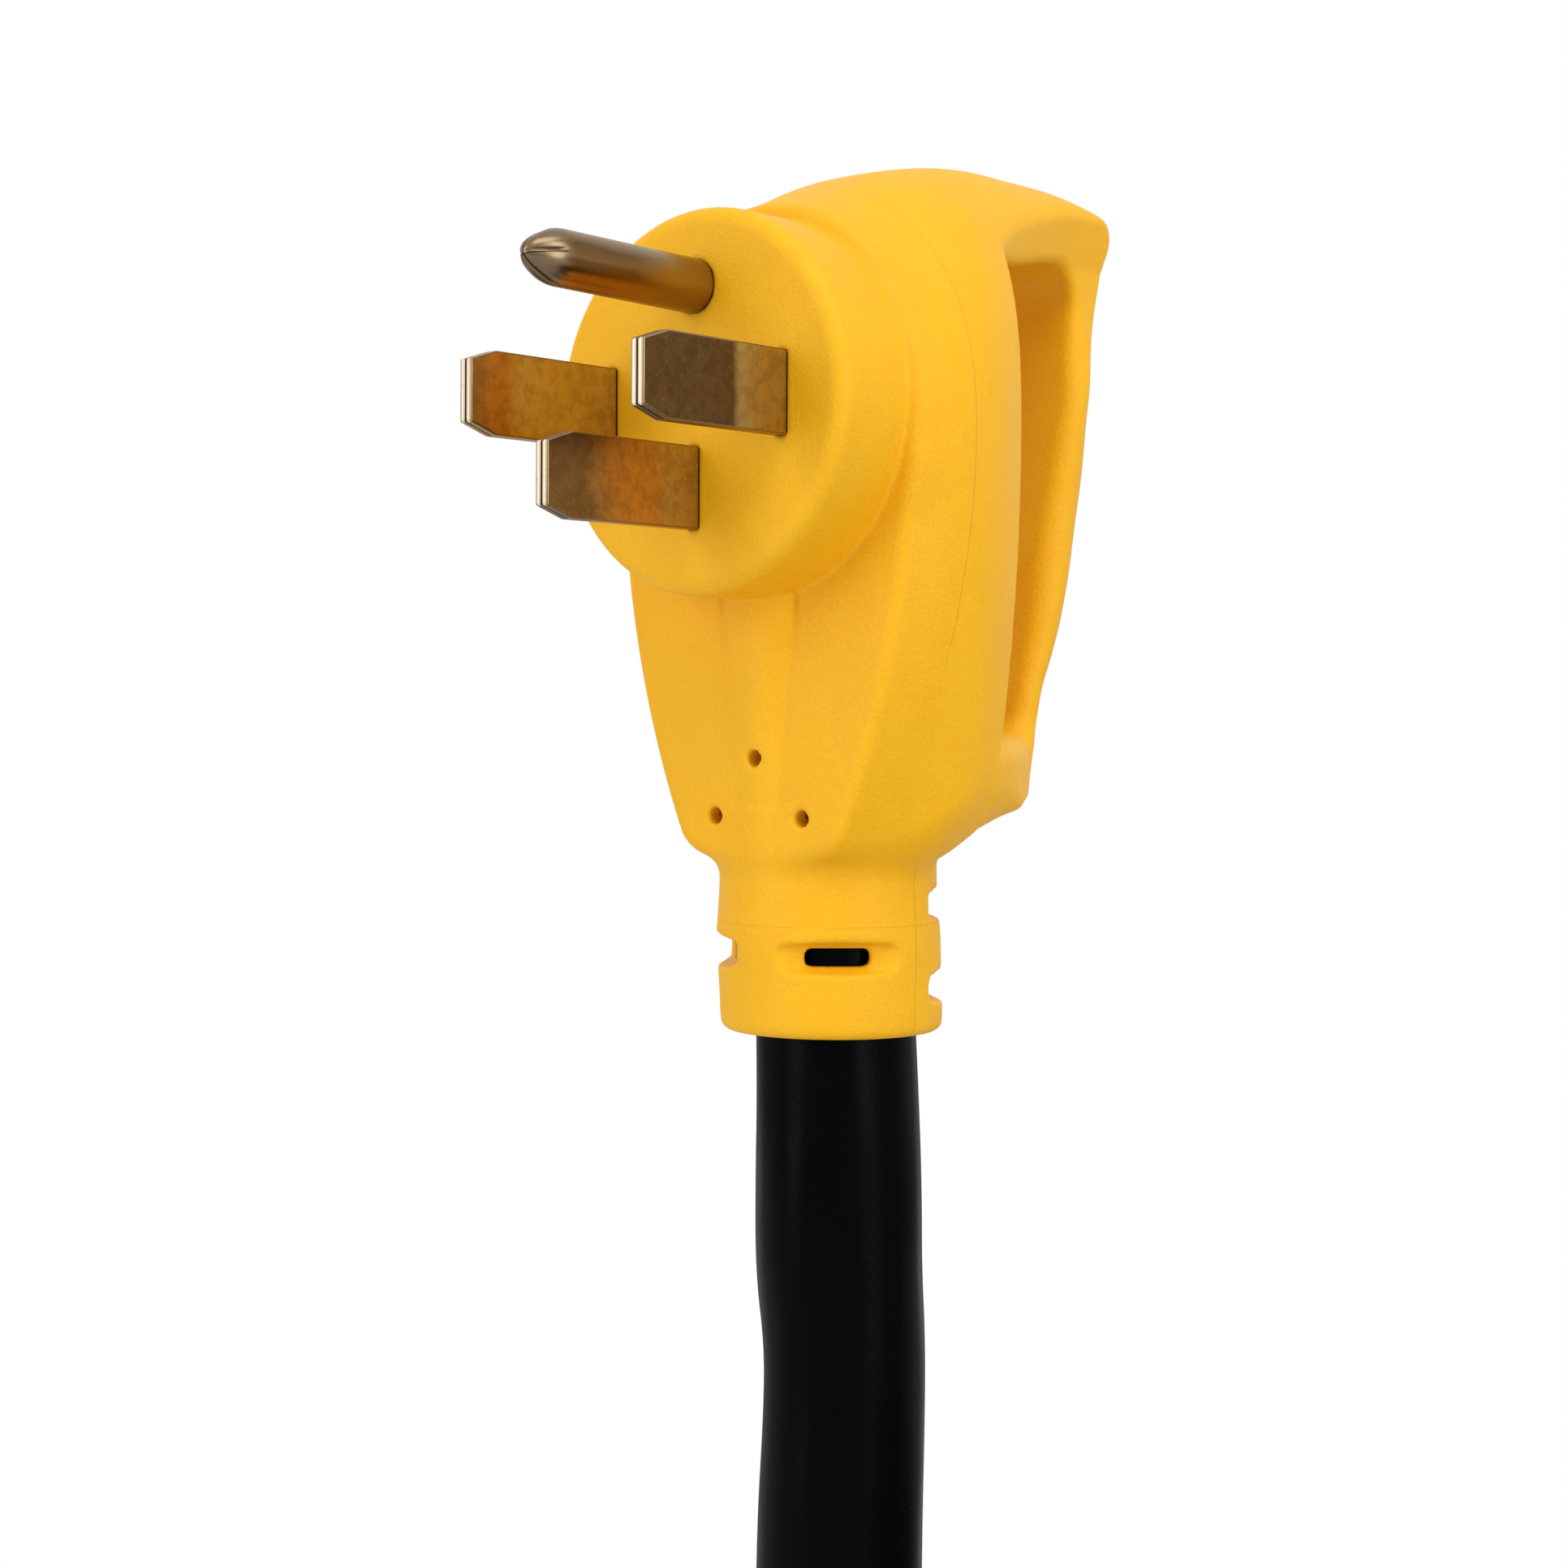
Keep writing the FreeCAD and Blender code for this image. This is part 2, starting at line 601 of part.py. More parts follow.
nose = turned("nose", [(0, 0), (nose_r, 0), (nose_r, nose_depth + 1), (0, nose_depth + 1)], False)
fillet(nose, face_round, lambda e: e.BoundBox.ZMax < 0.01 and e.BoundBox.XLength > float(nose_r))
nose.Placement = FreeCAD.Placement(V(0, 0, 0), ALONG_Y)
neck = primitive("Part::Cylinder", "neck", (0, neck_back, -neck_low), Radius=neck_r,
                 Height=neck_low - housing_low + 10.5)
ridge_shape = doc.addObject("Part::Feature", "front_ridge")
ridge_corners = [(-7.5, -24), (7.5, -24), (3, -53), (-3, -53)]
ridge_face = Part.Face(Part.makePolygon([V(x, front - float(ridge_proud), z)
                                         for x, z in ridge_corners + ridge_corners[:1]]))
ridge_shape.Shape = ridge_face.extrude(V(0, float(ridge_proud) + 1, 0))
blank = fused("plug_blank", [nose, housing, handle, bridge_root, arm_root, neck, ridge_shape])


def relief_slot(name, angle, z):
    """A slot through neck or strain relief to the jacket, wider outside than inside."""
    inner, outer = cord_r - 1.5, neck_r + 0.2
    return primitive("Part::Wedge", name, (0, neck_back, z), FreeCAD.Rotation(V(0, 0, 1), angle - 90),
                     Xmin=-hole_w / 2, Xmax=hole_w / 2, Zmin=-hole_high / 2, Zmax=hole_high / 2,
                     X2min=-slot_w / 2, X2max=slot_w / 2, Z2min=-slot_high / 2, Z2max=slot_high / 2,
                     Ymin=inner, Ymax=outer)


slots = [relief_slot(f"slot_{row}_{angle}", angle, z)
         for row, z, angles in (("upper", 2.6 - neck_low, (45, 135)), ("middle", -4.8 - neck_low, (-45, -135)),
                                ("lower", -10 - neck_low, (45, 135)))
         for angle in angles]

openings = [primitive("Part::Box", "face_slot_" + name, (x - half_t - face_play, -1, z - half_w - face_play),
                      Length=2 * (half_t + face_play), Width=face_wall + 2, Height=2 * (half_w + face_play))
            for name, (x, z) in contact_places.items()]
openings.append(primitive("Part::Cylinder", "face_hole", (0, -1, pin_rise), ALONG_Y, Radius=pin_r + face_play,
                          Height=face_wall + 2))
seats = [primitive("Part::Cylinder", "carrier_seat", (0, face_wall, 0), ALONG_Y, Radius=carrier_r + bore_play,
                   Height=carrier_depth),
         primitive("Part::Cylinder", "jacket_seat", (0, neck_back, -neck_low - 1), Radius=cord_r + bore_play,
                   Height=neck_low + 1 - jacket_top),
         primitive("Part::Cylinder", "spigot_seat", (0, neck_back, -neck_low - 1), Radius=spigot_r + bore_play,
                   Height=spigot_len + 1)]
marks = [primitive("Part::Cylinder", f"mould_hole_{n}", (x, nose_depth - 1, z), ALONG_Y, Radius=mould_hole_r,
                   Height=mould_hole_deep + 1)
         for n, (x, z) in enumerate(((0, -51.2), (-8.1, -60), (8.1, -60)))]
keep(cut("plug_body", blank, openings + seats + core_blocks + marks + slots[:2]), "plug_body")

collar_len = relief_low - neck_low
jacket_bore = cord_r + bore_play
collar = turned("collar", [(jacket_bore, 0), (relief_r - 0.8, 0), (relief_r, 0.8), (neck_r, collar_len),
                           (spigot_r, collar_len), (spigot_r, collar_len + spigot_len),
                           (jacket_bore, collar_len + spigot_len)], False)
bind(collar, Placement__Base__y=neck_back, Placement__Base__z=-relief_low)
keep(cut("plug_strain_relief", collar, slots), "plug_strain_relief")


# The free cord: it hangs from the plug, bends to the floor and lies there in a coil
floor_z = -float(cord_fall)
pitch, inner_turn = float(coil_pitch), float(coil_inner)
outer_turn = inner_turn + 2 * pitch
cord_start = V(0, float(neck_back), -float(relief_low))
hanging = [cord_start, cord_start + V(0, 0, -18), cord_start + V(1.35, 1.15, -49.6),
           cord_start + V(1.2, 1.05, -113.9)]
for tilt, run in ((24, 77), (54, 78), (84, 77)):
    hanging.append(hanging[-1] + V(run * math.sin(math.radians(tilt)), 0, -run * math.cos(math.radians(tilt))))
landing = hanging[-1]
if abs(landing.z - floor_z) > 0.4:
    print("the cord lands at %.2f, not %.2f" % (landing.z, floor_z))
landing.z = floor_z
hanging.append(landing + V(38, 0, 0))
solid, drop_length, radii = tube("cord_drop", hanging, cord_r)
solid_feature("cord_drop", solid)
print("cord_drop: length %.1f, radii %s" % (drop_length, [round(r) for r in radii]))


def arc_edge(start, tangent, end):
    """The arc that leaves start along a tangent and reaches end."""
    chord = end - start
    along = V(chord).normalize()
    cosine = max(-1.0, min(1.0, along.dot(tangent)))
    side = tangent - along * cosine
    if side.Length < 1e-7:
        return Part.LineSegment(start, end).toShape()
    bulge = chord.Length / 2 * math.tan(math.acos(cosine) / 2)
    return Part.Arc(start, (start + end) * 0.5 + side.normalize() * bulge, end).toShape()


def biarc(start, leave, end, arrive):
    """Two tangent arcs from one place and heading to another."""
    chord, both = end - start, leave + arrive
    spread = 2 * (1 - leave.dot(arrive))
    if spread < 1e-9:
        reach = chord.dot(chord) / (4 * chord.dot(arrive))
    else:
        reach = (math.sqrt(chord.dot(both) ** 2 + spread * chord.dot(chord)) - chord.dot(both)) / spread
    middle = (start + end + (leave - arrive) * reach) * 0.5
    heading = (middle - start - leave * reach).normalize()
    return [arc_edge(start, leave, middle), arc_edge(middle, heading, end)]


centre = hanging[-1] + V(2 * float(cord_r), outer_turn + pitch, 0)


def stop(radius, angle, height, slope=0.0, shift=V(0, 0, 0)):
    """A place on the coil and the heading there: counter-clockwise, climbing with a slope."""
    a = math.radians(angle)
    place = centre + shift + V(radius * math.cos(a), radius * math.sin(a), height)
    return place, V(-math.sin(a), math.cos(a), slope).normalize()


# Every half turn on the far side of the coil steps in or out by one pitch, the near half is round,
# and the cord climbs to the second layer in the near half of its smallest turn.
stops = [stop(outer_turn + pitch, 270, 0), stop(outer_turn, 360, 0)]
for turn in (0, 1):
    radius = outer_turn - turn * pitch
    stops.append(stop(radius - pitch / 2, 90, 0, shift=V(pitch / 2, 0, 0)))
    stops.append(stop(radius - pitch, 180, 0))
    if turn == 0:
        stops += [stop(radius - pitch, 270, 0), stop(radius - pitch, 360, 0)]
stops += [stop(inner_turn, 270, pitch / 2, 1.5 * pitch / (math.pi * inner_turn)), stop(inner_turn, 360, pitch)]
for turn in (0, 1):
    radius = inner_turn + turn * pitch
    stops.append(stop(radius + pitch / 2, 90, pitch, shift=V(-pitch / 2, 0, 0)))
    stops.append(stop(radius + pitch, 180, pitch))
    if turn == 0:
        stops += [stop(radius + pitch, 270, pitch), stop(radius + pitch, 360, pitch)]
last_angle = 216
stops.append(stop(outer_turn, last_angle, pitch))

diameter = 2 * float(cord_r)
coil_edges = [Part.LineSegment(hanging[-1], stops[0][0]).toShape()]
for (here, leave), (there, arrive) in zip(stops, stops[1:]):
    coil_edges += biarc(here, leave, there, arrive)
coil_end = stops[-1][0] + stops[-1][1] * diameter
coil_edges.append(Part.LineSegment(stops[-1][0], coil_end).toShape())
solid, coil_length = sweep("cord_coil", coil_edges, cord_r, V(1, 0, 0))
solid_feature("cord_coil", solid)


def least_gap(edges, radius, step=6.0):
    """The least gap of a tube to itself, measured on points along its axis."""
    points = []
    for edge in edges:
        count = max(2, int(edge.Length / step))
        points += edge.discretize(count + 1)[:-1]
    skip = int(6 * radius / step) + 1
    least = 1e9
    for i, p in enumerate(points):
        for q in points[i + skip:]:
            if abs(p.x - q.x) < 4 * radius and abs(p.y - q.y) < 4 * radius:
                least = min(least, (p - q).Length)
    return least - 2 * radius


print("cord_coil: length %.1f, least gap to itself %.2f" % (coil_length, least_gap(coil_edges, float(cord_r))))

# The cord's end leaves the coil, rises and turns in over it, to the connector that lies on the coil
lying = cord_r + ring_r + 0.4
rising = [coil_end]
for turn, share, run in ((0, 0, 60), (1, 0.125, 62), (2, 0.228, 62), (3, 0.294, 62), (4, 0.228, 62),
                         (5, 0.125, 62), (6, 0, 60)):
    up = share * float(lying)
    flat = math.sqrt(run ** 2 - up ** 2)
    a = math.radians(last_angle + 90 + 24 * turn)
    rising.append(rising[-1] + V(flat * math.cos(a), flat * math.sin(a), up))
solid, tail_length, radii = tube("cord_tail", rising, cord_r)
solid_feature("cord_tail", solid)
print("cord_tail: length %.1f, radii %s" % (tail_length, [round(r) for r in radii]))

# Connector: its own Z axis runs out of its face, which is at its zero
pointing = (rising[-1] - rising[-2]).normalize()
connector_place = FreeCAD.Placement(rising[-1] + pointing * float(boot_len + shell_len),
                                    FreeCAD.Rotation(V(0, 0, 1), pointing))


def placed(obj, label):
    obj.Placement = connector_place
    return keep(obj, label)


ring_back = flange_thick + ring_play + ring_web
clip_front = ring_back + ring_play
clip_back = clip_front + clip_thick
jacket_in = shell_len - 23
groove_r = sleeve_r - clip_deep
placed(turned("connector_body", [
    (jacket_bore, -shell_len), (shell_tail_r, -shell_len), (shell_tail_r, 14 - shell_len),
    (sleeve_r, 44 - shell_len),
    (sleeve_r, -clip_back - 0.05), (groove_r, -clip_back - 0.05), (groove_r, 0.05 - clip_front),
    (sleeve_r, 0.05 - clip_front), (sleeve_r, -flange_thick), (flange_r, -flange_thick), (flange_r, 0),
    (shell_bore, 0), (shell_bore, -insert_depth - socket_len - 4), (jacket_bore, -jacket_in)], False),
    "connector_body")

ribs = []
for k in range(3):
    z = -boot_len - shell_len + 5 + 6 * k
    ribs += [(boot_r + 0.5 * k, z), (boot_r + 0.5 * k - 1.2, z + 0.4), (boot_r + 0.5 * k - 1.2, z + 2.6),
             (boot_r + 0.5 * k, z + 3)]
placed(turned("connector_strain_relief", [(jacket_bore, -boot_len - shell_len), (boot_r, -boot_len - shell_len)]
              + ribs + [(shell_tail_r, -shell_len), (jacket_bore, -shell_len)], False),
       "connector_strain_relief")


def sector(name, r_in, r_out, angle, span, low, high):
    """A bent block between two radii, round the connector's axis."""
    pieces = []
    for part, radius, widen, extra in (("outer", r_out, 0, 0), ("inner", r_in, 20, 1)):
        obj = bind(doc.addObject("Part::Cylinder", name + "_" + part), Radius=radius,
                   Height=high - low + 2 * extra, Placement__Base__z=low - extra)
        obj.Angle = span + widen
        obj.Placement = FreeCAD.Placement(V(0, 0, float(low) - extra),
                                          FreeCAD.Rotation(V(0, 0, 1), angle - (span + widen) / 2))
        bind(obj, Placement__Base__z=low - extra)
        pieces.append(obj)
    return cut(name, pieces[0], [pieces[1]])


socket_angles = {"x": 90, "y": 210, "neutral": 330}
socket_low = -insert_depth - socket_len
slot_in, slot_out = socket_ring_r - socket_gap / 2, socket_ring_r + socket_gap / 2
sleeves, gaps = {}, {}
for name, angle in socket_angles.items():
    sleeves[name] = sector("sleeve_" + name, slot_in - socket_wall, slot_out + socket_wall, angle, 54,
                           socket_low, -insert_depth)
    gaps[name] = sector("gap_" + name, slot_in, slot_out, angle, 46, socket_low + 2, level + 1)
    placed(cut("socket_" + name, sleeves[name], [gaps[name]]), "socket_" + name)
ground_blank = primitive("Part::Cylinder", "ground_blank", (0, 0, socket_low),
                         Radius=ground_hole_r + socket_wall, Height=socket_len)
ground_hole = primitive("Part::Cylinder", "ground_hole", (0, 0, socket_low + 2), Radius=ground_hole_r,
                        Height=socket_len + insert_depth)
placed(cut("socket_ground", ground_blank, [ground_hole]), "socket_ground")
insert = primitive("Part::Cylinder", "insert", (0, 0, -insert_depth), Radius=shell_bore - bore_play,
                   Height=insert_depth)
placed(cut("connector_face", insert, list(gaps.values()) + [ground_hole]), "connector_face")
core = primitive("Part::Cylinder", "core", (0, 0, socket_low), Radius=shell_bore - bore_play, Height=socket_len)
placed(cut("connector_core", core, list(sleeves.values()) + [ground_blank]), "connector_core")

tail_spots = {"x": (90, 7.2), "y": (210, 7.2), "neutral": (330, 7.2), "ground": (0, 0)}
entry = primitive("Part::Cylinder", "entry", (0, 0, -boot_len - shell_len), Radius=cord_r,
                  Height=boot_len + shell_len - jacket_in)
entry_holes = []
for name, (angle, radius) in tail_spots.items():
    a = math.radians(angle)
    spot, wide = V(math.cos(a), math.sin(a), 0) * radius, V(math.cos(a), math.sin(a), 0) * float(socket_ring_r)
    if name == "ground":
        wide = V(0, 0.6, 0)
    low, high = -float(jacket_in), float(socket_low)
    route = [spot + V(0, 0, low - hole_deep), spot + V(0, 0, low + 8), wide + V(0, 0, high - 10),
             wide + V(0, 0, high)]
    solid = tube("tail_wire_" + name, route, conductor_r(name))[0]
    solid_feature("tail_wire_" + name, solid, connector_place)
    entry_holes.append(primitive("Part::Cylinder", "entry_hole_" + name,
                                 (spot.x, spot.y, -jacket_in - hole_deep - 0.1),
                                 Radius=conductor_r(name) + bore_play, Height=hole_deep + 1))
placed(cut("connector_cord_end", entry, entry_holes), "connector_cord_end")

placed(turned("face_seal", [(shell_bore + 0.3, 0), (flange_r - 0.3, 0), (flange_r - 0.3, seal_thick),
                            (shell_bore + 0.3, seal_thick)], False), "face_seal")

clip = turned("ring_clip", [(groove_r + 0.02, -clip_back), (sleeve_r + clip_high, -clip_back),
                            (sleeve_r + clip_high, -clip_front), (groove_r + 0.02, -clip_front)], False)
opening = sketch_on(clip, "XY_Plane", "Opening")
polygon(opening, [(-3, groove_r - 2), (3, groove_r - 2), (3, sleeve_r + 4), (-3, sleeve_r + 4)])
pocket(clip, opening, 3 * clip_back, True)
placed(clip, "ring_clip")

thread = []
for k in range(4):
    z = ring_front - 2 - 2.4 * k
    thread += [(skirt_r, z), (skirt_r + thread_deep, z - 0.8), (skirt_r, z - 1.6)]
bearing = sleeve_r + ring_play
lock_ring = turned("lock_ring", [(bearing, -ring_back), (ring_r - 2, -ring_back), (ring_r, 4 - ring_back),
                                 (ring_r, ring_front - 3), (ring_r - 1.5, ring_front), (skirt_r, ring_front)]
                   + thread + [(skirt_r, -flange_thick - ring_play), (bearing, -flange_thick - ring_play)],
                   False)
flute = sketch_on(lock_ring, "XY_Plane", "Flute")
circle(flute, ring_r + 1.9, 0, 3)
flutes = pocket(lock_ring, flute, 3 * ring_back, True)
pattern = lock_ring.newObject("PartDesign::PolarPattern", "Flutes")
pattern.Originals = [flutes]
pattern.Axis = (flute, ["N_Axis"])
pattern.Angle = 360
pattern.Occurrences = 20
lock_ring.Tip = pattern
placed(lock_ring, "lock_ring")

doc.recompute()
for obj in doc.Objects:
    if "Invalid" in obj.State or "Error" in obj.State:
        raise ValueError(f"{obj.Name} did not build")
for label, obj in subparts.items():
    if obj.Shape.isNull() or not obj.Shape.isValid():
        raise ValueError(f"{label} has no valid shape")

os.makedirs("parts", exist_ok=True)
for label, obj in subparts.items():
    obj.Shape.exportStep(f"parts/{label}.step")
total = float(relief_low - jacket_top) + drop_length + coil_length + tail_length + float(
    boot_len + shell_len - jacket_in)
print("whole cord: length %.1f" % total)
print("connector's face at", tuple(round(c, 3) for c in connector_place.Base), "pointing",
      tuple(round(c, 4) for c in pointing))
print(len(subparts), "pieces")
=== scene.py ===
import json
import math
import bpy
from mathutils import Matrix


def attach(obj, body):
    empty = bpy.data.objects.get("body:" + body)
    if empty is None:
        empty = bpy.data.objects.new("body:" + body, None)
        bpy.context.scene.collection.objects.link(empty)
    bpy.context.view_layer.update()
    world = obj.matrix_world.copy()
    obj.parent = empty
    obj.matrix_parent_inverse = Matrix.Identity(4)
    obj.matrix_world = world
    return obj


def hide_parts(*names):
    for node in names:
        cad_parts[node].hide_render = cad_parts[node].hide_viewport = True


bl_info = {
    "name": "Shore power cord",
    "version": (1, 0, 0),
    "blender": (4, 5, 0),
    "location": "3D View > Sidebar > Shore cord",
    "description": "Builds the looks of a moulded right-angle plug with its thick cord and connector",
    "category": "Object",
}

import bmesh
import bpy
import numpy as np
from mathutils import Matrix, Vector

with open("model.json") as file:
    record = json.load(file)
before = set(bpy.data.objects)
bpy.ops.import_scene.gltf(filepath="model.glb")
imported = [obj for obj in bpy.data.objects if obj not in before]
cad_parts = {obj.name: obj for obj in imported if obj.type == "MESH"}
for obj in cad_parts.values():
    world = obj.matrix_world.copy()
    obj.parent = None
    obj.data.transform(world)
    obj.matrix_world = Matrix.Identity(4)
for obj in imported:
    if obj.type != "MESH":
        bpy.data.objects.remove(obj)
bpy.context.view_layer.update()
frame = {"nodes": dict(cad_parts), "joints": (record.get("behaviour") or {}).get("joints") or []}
nodes = frame["nodes"]
MM = 0.001
# places from the middle of the plug's face, in millimetres
CORD_BACK = 32.3
RELIEF_END = -93.4
PIN_HEIGHT = 16.5
CONTACT_REAR = 16.9
# where the cord leaves the strain relief, and where the connector's face is
CORD_EXIT = Vector((0, CORD_BACK, RELIEF_END)) * MM
ring_turn = frame["joints"][0]
FACE = Vector(ring_turn["pos_m"])


class CordSizes(bpy.types.PropertyGroup):
    """Sizes of the free cord."""
    diameter: bpy.props.FloatProperty(name="Diameter", description="Diameter of the cord's jacket",
                                      default=0.026, min=0.01, max=0.05, subtype="DISTANCE", unit="LENGTH")
    length: bpy.props.FloatProperty(name="Length", description="Length of the cord between its two ends",
                                    default=4.57, min=1, max=10, subtype="DISTANCE", unit="LENGTH")
    floor: bpy.props.FloatProperty(name="Floor", description="Height of the floor under the plug's face",
                                   default=-0.3445, max=0, subtype="DISTANCE", unit="LENGTH")


class CordColours(bpy.types.PropertyGroup):
    """Colours of the finishes."""
    yellow: bpy.props.FloatVectorProperty(name="Yellow", description="Moulded yellow cover", size=3,
                                          min=0, max=1, default=(0.90, 0.465, 0.009), subtype="COLOR")
    jacket: bpy.props.FloatVectorProperty(name="Jacket", description="Black jacket of the cord", size=3,
                                          min=0, max=1, default=(0.0006, 0.0006, 0.0007), subtype="COLOR")
    brass: bpy.props.FloatVectorProperty(name="Brass", description="Worn brass of the blades", size=3,
                                         min=0, max=1, default=(0.50, 0.36, 0.15), subtype="COLOR")


# Shader maths
class Value:
    """A number in a material. Python's operators on it add Math nodes."""

    def __init__(self, finish, socket):
        self.finish = finish
        self.socket = socket

    def math(self, operation, *others):
        return self.finish.node("ShaderNodeMath", {"operation": operation}, self, *others).out()

    def __add__(self, other):
        return self.math("ADD", other)

    __radd__ = __add__

    def __mul__(self, other):
        return self.math("MULTIPLY", other)

    __rmul__ = __mul__

    def __sub__(self, other):
        return self.math("SUBTRACT", other)

    def __rsub__(self, other):
        return self.finish.node("ShaderNodeMath", {"operation": "SUBTRACT"}, other, self).out()

    def __truediv__(self, other):
        return self.math("DIVIDE", other)

    def __abs__(self):
        return self.math("ABSOLUTE")

    def least(self, other):
        return self.math("MINIMUM", other)

    def most(self, other):
        return self.math("MAXIMUM", other)

    def clear(self):
        """The value kept between 0 and 1."""
        return self.most(0).least(1)

    def rise(self, low, high):
        """A soft step: 0 below low, 1 above high, or the other way round if low is the greater."""
        return self.finish.node("ShaderNodeMapRange", {"interpolation_type": "SMOOTHSTEP"}, self, low, high,
                                0, 1).out()

    def line(self, place, half):
        """1 in the middle of a narrow band and 0 outside it."""
        return abs(self - place).rise(half, 0)


class Added:
    """A node just added, with a way to its outputs."""

    def __init__(self, finish, node):
        self.finish = finish
        self.node = node

    def out(self, name=0):
        return Value(self.finish, self.node.outputs[name])


class Finish:
    """A material under construction."""

    def __init__(self, name, **sockets):
        self.material = bpy.data.materials.new(name)
        self.material.use_nodes = True
        self.tree = self.material.node_tree
        self.shader = self.tree.nodes["Principled BSDF"]
        self.set(**sockets)

    def node(self, kind, settings, *values, **named):
        """Add any node: its settings come first, then values or links by position or by socket name."""
        made = self.tree.nodes.new(kind)
        for key, value in settings.items():
            if key == "stops":
                self.fill_ramp(made.color_ramp, value)
            else:
                setattr(made, key, value)
        for i, value in enumerate(values):
            self.feed(made.inputs[i], value)
        for key, value in named.items():
            self.feed(made.inputs[key.replace("_", " ")], value)
        return Added(self, made)

    @staticmethod
    def fill_ramp(ramp, stops):
        while len(ramp.elements) < len(stops):
            ramp.elements.new(0.5)
        for element, (place, colour) in zip(ramp.elements, stops):
            element.position = place
            element.color = (*colour, 1)

    def feed(self, socket, value):
        if isinstance(value, Value):
            self.tree.links.new(value.socket, socket)
        elif hasattr(value, "__len__") and len(value) == 3 and len(socket.default_value) == 4:
            socket.default_value = (*value, 1)
        else:
            socket.default_value = value

    def set(self, **sockets):
        for name, value in sockets.items():
            self.feed(self.shader.inputs[name.replace("_", " ")], value)
        return self

    def place(self):
        """The object's own coordinates in millimetres, as three numbers."""
        spot = self.node("ShaderNodeTexCoord", {}).out("Object")
        parts = self.node("ShaderNodeSeparateXYZ", {}, spot)
        return [parts.out(axis) * 1000 for axis in "XYZ"]

    def noise(self, size_mm, detail=2.0, rough=0.5, stretch=(1, 1, 1), seed=0.0):
        """Noise from 0 to 1 with spots of about the given size."""
        spot = self.node("ShaderNodeTexCoord", {}).out("Object")
        spot = self.node("ShaderNodeMapping", {}, spot, (seed, seed * 0.7, -seed), (0, 0, 0), stretch)
        return self.node("ShaderNodeTexNoise", {}, spot.out(), Scale=1000 / size_mm, Detail=detail,
                         Roughness=rough).out("Fac")

    def mix(self, share, first, second, blend="MIX"):
        """Mix two colours by a share from 0 to 1."""
        node = self.tree.nodes.new("ShaderNodeMix")
        node.data_type = "RGBA"
        node.blend_type = blend
        self.feed(node.inputs[0], share)
        self.feed(node.inputs[6], first)
        self.feed(node.inputs[7], second)
        return Value(self, node.outputs[2])

    def ramp(self, share, *stops):
        return self.node("ShaderNodeValToRGB", {"stops": stops}, share).out("Color")

    def bump(self, height, depth_mm, strength=1.0):
        """Feed the shader's Normal from a height of 0 to 1 that stands for a depth in millimetres."""
        normal = self.node("ShaderNodeBump", {}, Strength=strength, Distance=depth_mm * MM,
                           Height=height).out()
        return self.set(Normal=normal)


def colours():
    return bpy.context.scene.shore_colours


def sizes():
    return bpy.context.scene.shore_sizes


# Finishes
def yellow_cover():
    """Moulded yellow elastomer: satin, finely grained, a little duller in patches, with its mould line."""
    f = Finish("yellow_cover", IOR=1.48, Specular_IOR_Level=0.22)
    x, y, z = f.place()
    patch = f.noise(22, 3, 0.55)
    cloud = f.noise(4, 3, 0.6, seed=3)
    base = tuple(colours().yellow)
    deep = (base[0] * 0.98, base[1] * 0.95, base[2] * 0.8)
    grain = f.noise(0.5, 2, 0.6)
    shade = f.mix((patch * 0.6 + cloud * 0.4).rise(0.62, 0.36), base, deep)
    f.set(Base_Color=f.mix(grain.rise(0.38, 0.62), f.mix(0.045, shade, (0, 0, 0)), shade))
    f.set(Roughness=0.46 + 0.10 * patch)
    pits = f.noise(1.6, 2, 0.5, seed=7)
    seam = y.line(25.2 - 0.0011 * z * z, 0.35) * z.rise(-46, -30)
    seam = seam.most(y.line(31, 0.35) * z.rise(-66, -68)).most(z.line(-76.4, 0.3) * 0.5)
    f.bump(grain * 0.55 + pits * 0.2 + seam * 0.7, 0.19, 0.95)
    return f.material


def plain(name, colour, roughness, metallic=0.0, grain_mm=0.6, depth_mm=0.03, shine=0.5):
    """A moulded or drawn surface with slight patches and a fine grain."""
    f = Finish(name, Metallic=metallic, Specular_IOR_Level=shine)
    patch = f.noise(9, 3, 0.55)
    dark = tuple(c * 0.78 for c in colour)
    f.set(Base_Color=f.mix(patch.rise(0.65, 0.35), tuple(colour), dark))
    f.set(Roughness=roughness - 0.06 + 0.12 * patch)
    f.bump(f.noise(grain_mm, 3, 0.6), depth_mm)
    return f.material


def jacket():
    """Black satin jacket: faint lengthwise unevenness and a fine grain."""
    f = Finish("black_jacket", IOR=1.5, Specular_IOR_Level=0.035)
    patch = f.noise(16, 3, 0.55)
    base = tuple(colours().jacket)
    f.set(Base_Color=f.mix(patch.rise(0.6, 0.4), base, tuple(c * 1.6 for c in base)))
    f.set(Roughness=0.20 + 0.14 * patch)
    wave = f.noise(15, 0.5, 0.4, stretch=(1, 1, 0.6))
    fine = f.noise(0.8, 3, 0.6)
    f.bump(wave * 0.97 + fine * 0.03, 1.4)
    return f.material


# Meshes
def new_piece(name, mesh, material, body="cord"):
    obj = bpy.data.objects.new(name, mesh)
    bpy.context.scene.collection.objects.link(obj)
    if material is not None:
        mesh.materials.clear()
        mesh.materials.append(material)
    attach(obj, body)
    return obj


def dress(name, material):
    """Give a CAD node its finish."""
    materials = nodes[name].data.materials
    materials.clear()
    materials.append(material)


# Solid shapes as distances on a grid, in millimetres
def both(a, b, radius=0.0):
    """Where two shapes overlap, with their common edge rounded."""
    return varied(a, b, radius) if radius else np.maximum(a, b)


